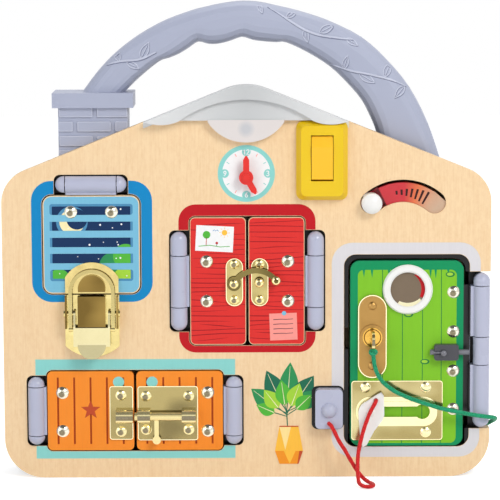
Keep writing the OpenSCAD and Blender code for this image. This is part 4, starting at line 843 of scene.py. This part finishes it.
# Potted plant: plain pointed leaves in a tapered pot.
plant = []
stem_x, stem_z = 27, 42
LEAVES = ((52, 27, 13, p_pine, 6), (24, 31, 14, p_deep, 10), (-4, 34, 13, p_pine, 12),
          (-34, 30, 14, p_deep, 9), (-56, 24, 12, p_pine, 9), (66, 17, 9, p_leaf, 0),
          (38, 20, 11, p_lime, 3), (8, 22, 11, p_leaf, 5), (-20, 21, 11, p_lime, 4),
          (-46, 18, 10, p_leaf, 2))
for k, (turn, length, width, m, low) in enumerate(LEAVES):
    # Each leaf has layers of its own, because coplanar faces would show black.
    layer = 1 + 0.6 * k
    z = stem_z + 0.35 * low
    lx, lz = stem_x - 9 * math.sin(math.radians(turn)), z + 6 * math.cos(math.radians(turn))
    plant.append((p_deep, 0.06 * k, ribbon([(stem_x * 0.6 + 28.5 * 0.4, 34), (stem_x, z), (lx, lz)], 0.7)))
    plant.append((m, layer, leaf(lx, lz, length * 0.8, width, turn)))
    rib = [(lx - t * 0.72 * length * math.sin(math.radians(turn)),
            lz + t * 0.72 * length * math.cos(math.radians(turn))) for t in (0.05, 0.5, 1)]
    plant.append((p_cream, layer + 0.3, ribbon(rib, 0.55, 0.2)))
pot = [(22, 35), (35, 35), (38, 18), (35, 9), (22, 9), (19, 18)]
plant += [(p_pot, 7.5, pot), (p_pot_dark, 8, [(19, 18), (38, 18), (35, 9), (22, 9)]),
          (p_pot_pale, 8.5, [(22, 35), (30, 35), (26, 18.6)]), (p_pot, 9, [(25, 18), (33, 18), (29, 9)]),
          (p_rust, 9.5, [(35.6, 18), (38, 18), (35, 9), (34.2, 9)]),
          (p_rust, 10, ribbon([(22, 35), (35, 35)], 0.7))]
sheet_of("plant_print", plant, "house", step=0.025)

# Window: a night view behind slats.
x0, x1 = window_x - 26.8, window_x + 26.8
sky = [(p_sky, 0, centred(window_x, window_z, 63.9, 65.2, 5.4))]
random.seed(4)
VIEW = ((p_slate, 3, disc(window_x - 13, window_z + 15.5, 10.6)),
        (p_moon, 4, disc(window_x - 13, window_z + 15.5, 8.4)),
        (p_navy, 5, disc(window_x - 9.6, window_z + 17.3, 7.0)),
        (p_pine, 3, disc(window_x + 15, window_z - 15, 10)),
        (p_leaf, 4, disc(window_x + 23, window_z - 8, 8.5)),
        (p_lime, 5, disc(window_x + 22, window_z - 23, 7.5)),
        (p_leaf, 3, disc(window_x - 22, window_z - 24, 7.5)))
for k, (top, low) in enumerate(((204.8, 213.3), (220, 229), (236, 245.4), (252, 261.5), (268, 277))):
    z1, z0 = seen(0, top)[1] - 0.3, seen(0, low)[1] - 0.3
    low_edge, high_edge = 1.6 if k == 4 else 0, 1.6 if k == 0 else 0
    sky.append((p_slate, 1, rounded(x0 - 1.2, z0 - low_edge, x1 + 1.2, z1 + high_edge,
                                    max(low_edge, high_edge, 0.2))))
    sky.append((p_navy, 2, rounded(x0 + 0.4, z0, x1 - 0.4, z1, 0.5)))
    for m, layer, shape in VIEW:
        part = clip(shape, x0 + 0.5, z0 + 0.02, x1 - 0.5, z1 - 0.02)
        if part:
            sky.append((m, layer, part))
    for _ in range(4):
        x, z = random.uniform(x0 + 3, x1 - 3), random.uniform(z0 + 1.2, z1 - 1.2)
        sky.append((p_white, 6, disc(x, z, random.uniform(0.3, 0.7), 14)))
sheet_of("window_print", sky, "window", base=DOOR, step=0.02)


def painted(x, z, w, h, r):
    """A door's painted face, with a narrow bare edge."""
    return centred(x, z, w - 0.8, h - 0.8, r - 0.4)


# Red doors: wavy grain lines; a child's drawing and a pinned note.
def grain_lines(x0, x1, z0, z1, pitch, material, layer, tilt=2.2):
    out = []
    z = z0 + pitch
    while z < z1 - 1.2:
        a = x0 if random.random() < 0.55 else random.uniform(x0, x0 + 6)
        b = x1 if random.random() < 0.5 else random.uniform(x1 - 14, x1)
        lean = random.uniform(-tilt, tilt)
        wave = random.uniform(0.1, 0.5)
        phase = random.uniform(0, 6.3)
        n = 9
        line = [(a + (b - a) * t / n, z + lean * (t / n - 0.5) + wave * math.sin(phase + 3.2 * t / n))
                for t in range(n + 1)]
        line = [(x, min(max(y, z0 + 0.5), z1 - 0.5)) for x, y in line]
        wide = random.uniform(0.3, 0.62)
        start, end = wide if a == x0 else 0.08, wide * 0.8 if b == x1 else 0.06
        out.append((material, layer, ribbon(line, start, end, wide)))
        z += pitch * random.uniform(0.75, 1.3)
    return out


door_w, door_h = 37.7, 86.8
for side, hand in ((-1, "left"), (1, "right")):
    x = red_x + side * 19.75
    random.seed(11 + side)
    art = [(p_red, 0, painted(x, red_z, door_w, door_h, 3.4))]
    art += grain_lines(x - 18.2, x + 18.2, red_z - 42.8, red_z + 42.8, 3.15, p_grain, 1)
    if side < 0:
        cx, cz = x - 2.2, red_z + 29
        drawing = [(p_white, 2, centred(0, 0, 25.4, 17.4, 0)),
                   (p_leaf, 3, ribbon([(-10.5, -5.6), (-3, -4.6), (4, -5.4), (10.5, -4.8)], 0.5)),
                   (p_rust, 3, ribbon([(-5.5, -5), (-5.5, 0.6)], 0.5)),
                   (p_leaf, 3, disc(-5.5, 2.4, 2.6, 18)),
                   (p_pot, 3, disc(6.5, 4.4, 1.9, 18)),
                   (p_blue, 3, ribbon([(-1.4, 5.2), (-0.5, 6.1), (0.5, 5.2), (1.4, 6.1), (2.4, 5.2)], 0.4)),
                   (p_crimson, 3, disc(1.6, -2.9, 0.9, 12)),
                   (p_pine, 3, ribbon([(1.6, -5), (1.6, -3.4)], 0.35))]
        drawing += [(p_pot, 3, ribbon([polar(6.5, 4.4, r, 45 * a) for r in (2.5, 3.6)], 0.35))
                    for a in range(8)]
        art += [(m, layer, turned([(cx + a, cz + b) for a, b in q], cx, cz, -3)) for m, layer, q in drawing]
    else:
        cx, cz = x + 4.6, red_z - 31.2
        art.append((p_pink, 2, turned(centred(cx, cz, 18.6, 18.4, 0), cx, cz, 2)))
        art.append((p_sky, 4, disc(cx + 0.4, cz + 9.2, 1.5, 20)))
        for k in range(4):
            z = cz + 5 - 3.2 * k
            line = [(cx - 6.8, z - 0.2), (cx - 2, z + 0.1), (cx + 2, z), (cx + 6.6, z + 0.3)]
            art.append((p_line, 3, ribbon(line, 0.5, 0.35)))
    sheet_of("red_print_" + hand, art, "red_" + hand, base=DOOR, step=0.025)

# Orange doors: a plain star and two round marks.
mark = lambda x: disc(x, 66.2, 3.8)
sheet_of("orange_print_left", [(p_rust, 0, star(-106.3, 47.0, 6.9)), (p_teal, 0, mark(-87.2))],
         "orange_left", base=DOOR)
sheet_of("orange_print_right", [(p_teal, 0, mark(-64.4))], "orange_right", base=DOOR)

# Green door: planks with knots inside a darker border.
gx0, gx1, gz0, gz1 = green_x - 33.2, green_x + 33.6, green_z - 61.8, green_z + 57.4
art = [(p_border, 0, centred(green_x, green_z, 75.9, 126.5, 6.1)),
       (p_green, 1, rounded(gx0, gz0, gx1, gz1, 4))]
for x in (gx0 + 16.6, gx0 + 30, gx0 + 43.6, gx0 + 56.4):
    art.append((p_dark, 2, ribbon([(x, gz0), (x + 0.3, green_z), (x, gz1)], 0.5)))
random.seed(5)
for x in (gx0 + 4, gx0 + 9.5, gx0 + 21, gx0 + 26, gx0 + 49, gx0 + 52.5, gx0 + 61):
    l = random.uniform(3, 6.5)
    art.append((p_border, 2, [(x - 0.9, gz1 + 0.1), (x + 0.9, gz1 + 0.1), (x + 0.15, gz1 - l)]))
for x, z in ((137.6, 139.4), (109.6, 112.0), (120.8, 79.6), (82.0, 44.8), (127.4, 30.5)):
    art += [(p_dark, 3, disc(x, z, 3.1, 28, 0.6)), (p_lime, 4, disc(x - 0.2, z + 0.1, 2.1, 28, 0.52))]
# Behind the peephole: a plain brown ground, a red band and a pale fold.
px, pz = green_x + 0.5, green_z + 44.1
hole = disc(px, pz, 11.9, 64)
art += [(p_fur, 5, hole),
        (p_crimson, 6, arc(px, pz, 11.8, 30, 120) + arc(px - 3, pz, 12.2, 114, 36)),
        (p_cream, 6, arc(px, pz, 11.8, 130, 215) + arc(px, pz + 3, 12.3, 207, 138))]
sheet_of("green_print", art, "green", base=DOOR, step=0.02)

# Slider strip: graded bars in place of a word.
art = []
sx, sz, sr = 105.6, 163.8, 31.2
for k in range(7):
    a = -8 + 6.2 * k
    h = 1.3 + 0.55 * k
    art.append((p_ink, 0, [polar(sx, sz, r, a + t)
                           for r, t in ((sr - h, -1.3), (sr + h, -1.3), (sr + h, 1.3), (sr - h, 1.3))]))
sheet_of("strip_print", art, "house", base=-1.5, step=0.03)

# ---- Small details ----------------------------------------------------------
# The brass plates' bright edges, painted highlights: middle, size, corner, body, slot, depth, width of the
# edge.
HOOK = (11.6, 32.6, 5.7)
for name, x, z, (w, h, r), body, slot, depth, wide in (
        ("hook_plate_rim", red_x - 8.7, 134.6, HOOK, "red_left", "bright_brass", PLATE, 0.45),
        ("hook_keeper_rim", red_x + 8.4, 134.6, HOOK, "red_right", "bright_brass", PLATE, 0.45),
        ("bolt_keeper_rim", -85.4, 45.1, (16, 37, 1.8), "orange_left", "bright_brass", PLATE, 0.45),
        ("bolt_plate_rim", -53.8, 44.8, (41, 37.4, 1.8), "orange_right", "bright_brass", PLATE, 0.45),
        ("lock_plate_rim", 85.05, 97.2, (19.4, 57, 9.6), "green", "lock_brass", 2.5, 0.6),
        ("slotted_plate_rim", 101.9, 46.2, (62, 41, 2), "green", "bright_brass", PLATE, 0.45)):
    outer, inner = (centred(x, z, w - 0.12 - 2 * k, h - 0.12 - 2 * k, max(r - k, 0.2)) for k in (0, wide))
    sheet_of(name, [(m_edge_highlight, 0, outer, inner[::-1])], body, base=depth, step=0.05)
# Painted shade: a dark ring round the lock's plug, for the shadowed gap between plug and plate.
sheet_of("plug_groove_ring",
         [(m_groove_shade, 0, disc(lock_x, lock_z, 5.9, 48), disc(lock_x, lock_z, 5.2, 48)[::-1])],
         "lock", base=3.7, step=0.04)


def surface_of(node):
    """A function that finds where a ray from the front, at x, z in mm, meets a CAD node."""
    tree = BVHTree.FromObject(NODES[node], bpy.context.evaluated_depsgraph_get())
    return lambda x, z: tree.ray_cast(Vector((x / 1000, -0.2, z / 1000)), Vector((0, 1, 0)), 0.4)


# Painted highlights: pale edges round the chimney's bricks; brick_x and brick_z are the first brick's
# corner.
brick_x, brick_z, brick_w, brick_h = -100.2, 245.8, 22.3, 6.6
on_chimney = surface_of("chimney")
frames, brick_d = [], -100
for row in range(5):
    for k in range(-2, 2):
        x, z = brick_x + k * 25.6 + (row % 2) * 12.2, brick_z - 9.7 * row
        x0, x1 = max(x, -126.4), min(x + brick_w, -80.0)
        if x1 - x0 < 2 or z < 214:
            continue
        hit = on_chimney((x0 + x1) / 2, z + brick_h / 2)[0]
        if hit is None:
            continue
        brick_d = max(brick_d, (FRONT - hit.y) * 1000)
        frames.append((m_pale_lilac, 0, rounded(x0, z, x1, z + brick_h, 0.8),
                       rounded(x0 + 0.45, z + 0.45, x1 - 0.45, z + brick_h - 0.45, 0.4)[::-1]))
sheet_of("brick_edge_highlights", frames, "house", base=brick_d, step=0.06)
# Painted shade: a black sheet on the board round the cord block, for the shadowed gap round it.
sheet_of("cord_block_painted_shade", [(m_case, 0, centred(55.0, 48.0, 22, 30, 4.2))], "house",
         base=0.32, step=0.03)

# The vine in low relief on the handle: stems and outlined leaves that follow its face.
handle_hit = surface_of("handle")


def on_handle(x, height):
    """The point and normal of the handle's face that is seen at x, height in mm."""
    d = 0.0
    for _ in range(3):
        point, normal = handle_hit(x, height + DROP * d)[:2]
        if point is None:
            return None
        d = (FRONT - point.y) * 1000
    return point, (-normal if normal.y > 0 else normal)


def relief(name, lines, body, material, sides=8, flat=0.62):
    """Flattened tubes laid on the handle's face, in one mesh. A line is (points, radius, closed)."""
    bm = bmesh.new()
    for points, radius, closed in lines:
        hits = [h for h in (on_handle(x, z) for x, z in points) if h]
        n = len(hits)
        if n < 2:
            continue
        rings = []
        for i, (p, normal) in enumerate(hits):
            a = hits[(i - 1) % n if closed else max(i - 1, 0)][0]
            b = hits[(i + 1) % n if closed else min(i + 1, n - 1)][0]
            side = (b - a).cross(normal).normalized()
            r = radius / 1000
            if not closed:
                r *= 0.35 + 0.65 * min(1.0, 3.0 * min(i, n - 1 - i) / n + 0.3)
            turns = [2 * math.pi * k / sides for k in range(sides)]
            rings.append([bm.verts.new(p + r * math.cos(t) * side + flat * r * math.sin(t) * normal)
                          for t in turns])
        for i in range(n if closed else n - 1):
            u, v = rings[i], rings[(i + 1) % n]
            for k in range(sides):
                bm.faces.new((u[k], u[k - 1], v[k - 1], v[k]))
        if not closed:
            bm.faces.new(rings[0])
            bm.faces.new(rings[-1])
    bmesh.ops.recalc_face_normals(bm, faces=bm.faces)
    obj = to_object(name, bm, [material])
    obj.data.polygons.foreach_set("use_smooth", [True] * len(obj.data.polygons))
    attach(obj, body)


STEMS = (((102, 65), (120, 61), (140, 59), (156, 52)),
         ((258, 2), (275, 12), (290, 22), (305, 31), (320, 36), (340, 39), (352, 40)),
         ((330, 64), (350, 71), (370, 75), (390, 80), (408, 87)))
LEAF_ENDS = (((119, 61), (115, 47)), ((141, 58), (149, 42)), ((127, 62), (139, 68)), ((258, 4), (262, 14)),
             ((286, 18), (297, 11)), ((304, 30), (307, 43)), ((319, 33), (334, 25)), ((346, 39), (357, 46)),
             ((343, 69), (347, 56)), ((359, 74), (374, 83)), ((384, 77), (390, 62)), ((404, 86), (394, 98)))
vines = []
for stem in STEMS:
    path = smooth_path([(*seen(*q), 0) for q in stem], 8)
    vines.append(([q[:2] for q in path], 0.85, False))
for base, tip in LEAF_ENDS:
    (ax, az), (bx, bz) = seen(*base), seen(*tip)
    long = math.hypot(bx - ax, bz - az)
    turn = math.degrees(math.atan2(ax - bx, bz - az))
    vines.append((leaf(ax, az, long, 0.42 * long, turn), 0.42, True))
    vines.append(([(ax + (bx - ax) * t / 6, az + (bz - az) * t / 6) for t in range(6)], 0.32, False))
relief("handle_vines", vines, "house", m_vine)
shadows = [([(x + 0.35, z - 0.5) for x, z in points], 0.8 * radius, closed)
           for points, radius, closed in vines]
relief("handle_vine_shade", shadows, "house", m_vine_shade)

# ---- Floor, world and lamps -------------------------------------------------
FLOOR_GLOW = 0.56       # what the camera and gloss see the floor shine with
SKY_LIGHT = 0.55


def calc(op, *values):
    """A math node in the tree t, which is the floor's and then the world's."""
    m = t.nodes.new("ShaderNodeMath")
    m.operation = op
    m.use_clamp = True
    for v, s in zip(values, m.inputs):
        if isinstance(v, (int, float)):
            s.default_value = v
        else:
            t.links.new(v, s)
    return m.outputs[0]


m_floor = bpy.data.materials.new("floor")
m_floor.use_nodes = True
t = m_floor.node_tree
bsdf = t.nodes["Principled BSDF"]
bsdf.inputs["Base Color"].default_value = (0.86, 0.86, 0.86, 1)
bsdf.inputs["Roughness"].default_value = 0.8
bsdf.inputs["Specular IOR Level"].default_value = 0.0
ray = t.nodes.new("ShaderNodeLightPath").outputs
watched = calc("MAXIMUM", ray["Is Camera Ray"], ray["Is Glossy Ray"])
watched = calc("MAXIMUM", watched, ray["Is Transmission Ray"])
glow = t.nodes.new("ShaderNodeEmission")
t.links.new(calc("MULTIPLY", watched, FLOOR_GLOW), glow.inputs["Strength"])
both = t.nodes.new("ShaderNodeAddShader")
t.links.new(bsdf.outputs[0], both.inputs[0])
t.links.new(glow.outputs[0], both.inputs[1])
t.links.new(both.outputs[0], t.nodes["Material Output"].inputs["Surface"])
floor = add_mesh("floor", [(-3, -3, 0), (3, -3, 0), (3, 3, 0), (-3, 3, 0)], [(0, 1, 2, 3)], m_floor, None)
floor.location.z = -0.0003
floor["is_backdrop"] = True

world = bpy.data.worlds.new("studio")
scene.world = world
world.use_nodes = True
t = world.node_tree
t.nodes.clear()


def background(color, strength=1.0):
    b = t.nodes.new("ShaderNodeBackground")
    b.inputs["Color"].default_value = color
    if isinstance(strength, float):
        b.inputs["Strength"].default_value = strength
    else:
        t.links.new(strength, b.inputs["Strength"])
    return b.outputs[0]


def choose(fac, a, b):
    m = t.nodes.new("ShaderNodeMixShader")
    for v, s in zip((fac, a, b), m.inputs):
        t.links.new(v, s)
    return m.outputs[0]


# The background is white to the eye and in glass. Gloss shows it white too, up to a grey
# ceiling over the camera's side, which is what polished metal has to mirror.
ray = t.nodes.new("ShaderNodeLightPath").outputs
way = t.nodes.new("ShaderNodeTexCoord")
parts = t.nodes.new("ShaderNodeSeparateXYZ")
t.links.new(way.outputs["Generated"], parts.inputs[0])
x, y, z = parts.outputs
up = calc("MULTIPLY", calc("SUBTRACT", z, 0.5), 6.0)
middle = calc("MULTIPLY", calc("SUBTRACT", 0.72, calc("ABSOLUTE", x)), 4.0)
ahead = calc("MULTIPLY", calc("SUBTRACT", 0.25, y), 4.0)
ceiling = calc("MULTIPLY", calc("MULTIPLY", up, middle), ahead)
mirror = calc("SUBTRACT", 1.0, calc("MULTIPLY", ceiling, 0.86))
direct = calc("MAXIMUM", ray["Is Camera Ray"], ray["Is Transmission Ray"])
lit = choose(ray["Is Glossy Ray"], background((0.95, 0.97, 1.0, 1), SKY_LIGHT), background(WHITE, mirror))
out = t.nodes.new("ShaderNodeOutputWorld")
t.links.new(choose(direct, lit, background(WHITE)), out.inputs["Surface"])


def lamp(name, where, size, power, color=(1, 1, 1)):
    data = bpy.data.lights.new(name, "AREA")
    data.size = size
    data.energy = power
    data.color = color
    obj = bpy.data.objects.new(name, data)
    scene.collection.objects.link(obj)
    obj.location = where
    aim(obj, (0, 0, 0.14))
    return obj


lamp("key", (0.9, -1.3, 1.25), 0.7, 17, (1, 0.985, 0.96))
lamp("fill", (-1.3, -1.2, 0.6), 1.0, 6, (0.95, 0.97, 1))
lamp("top", (0.1, 0.5, 1.6), 0.9, 6)

low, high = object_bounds()
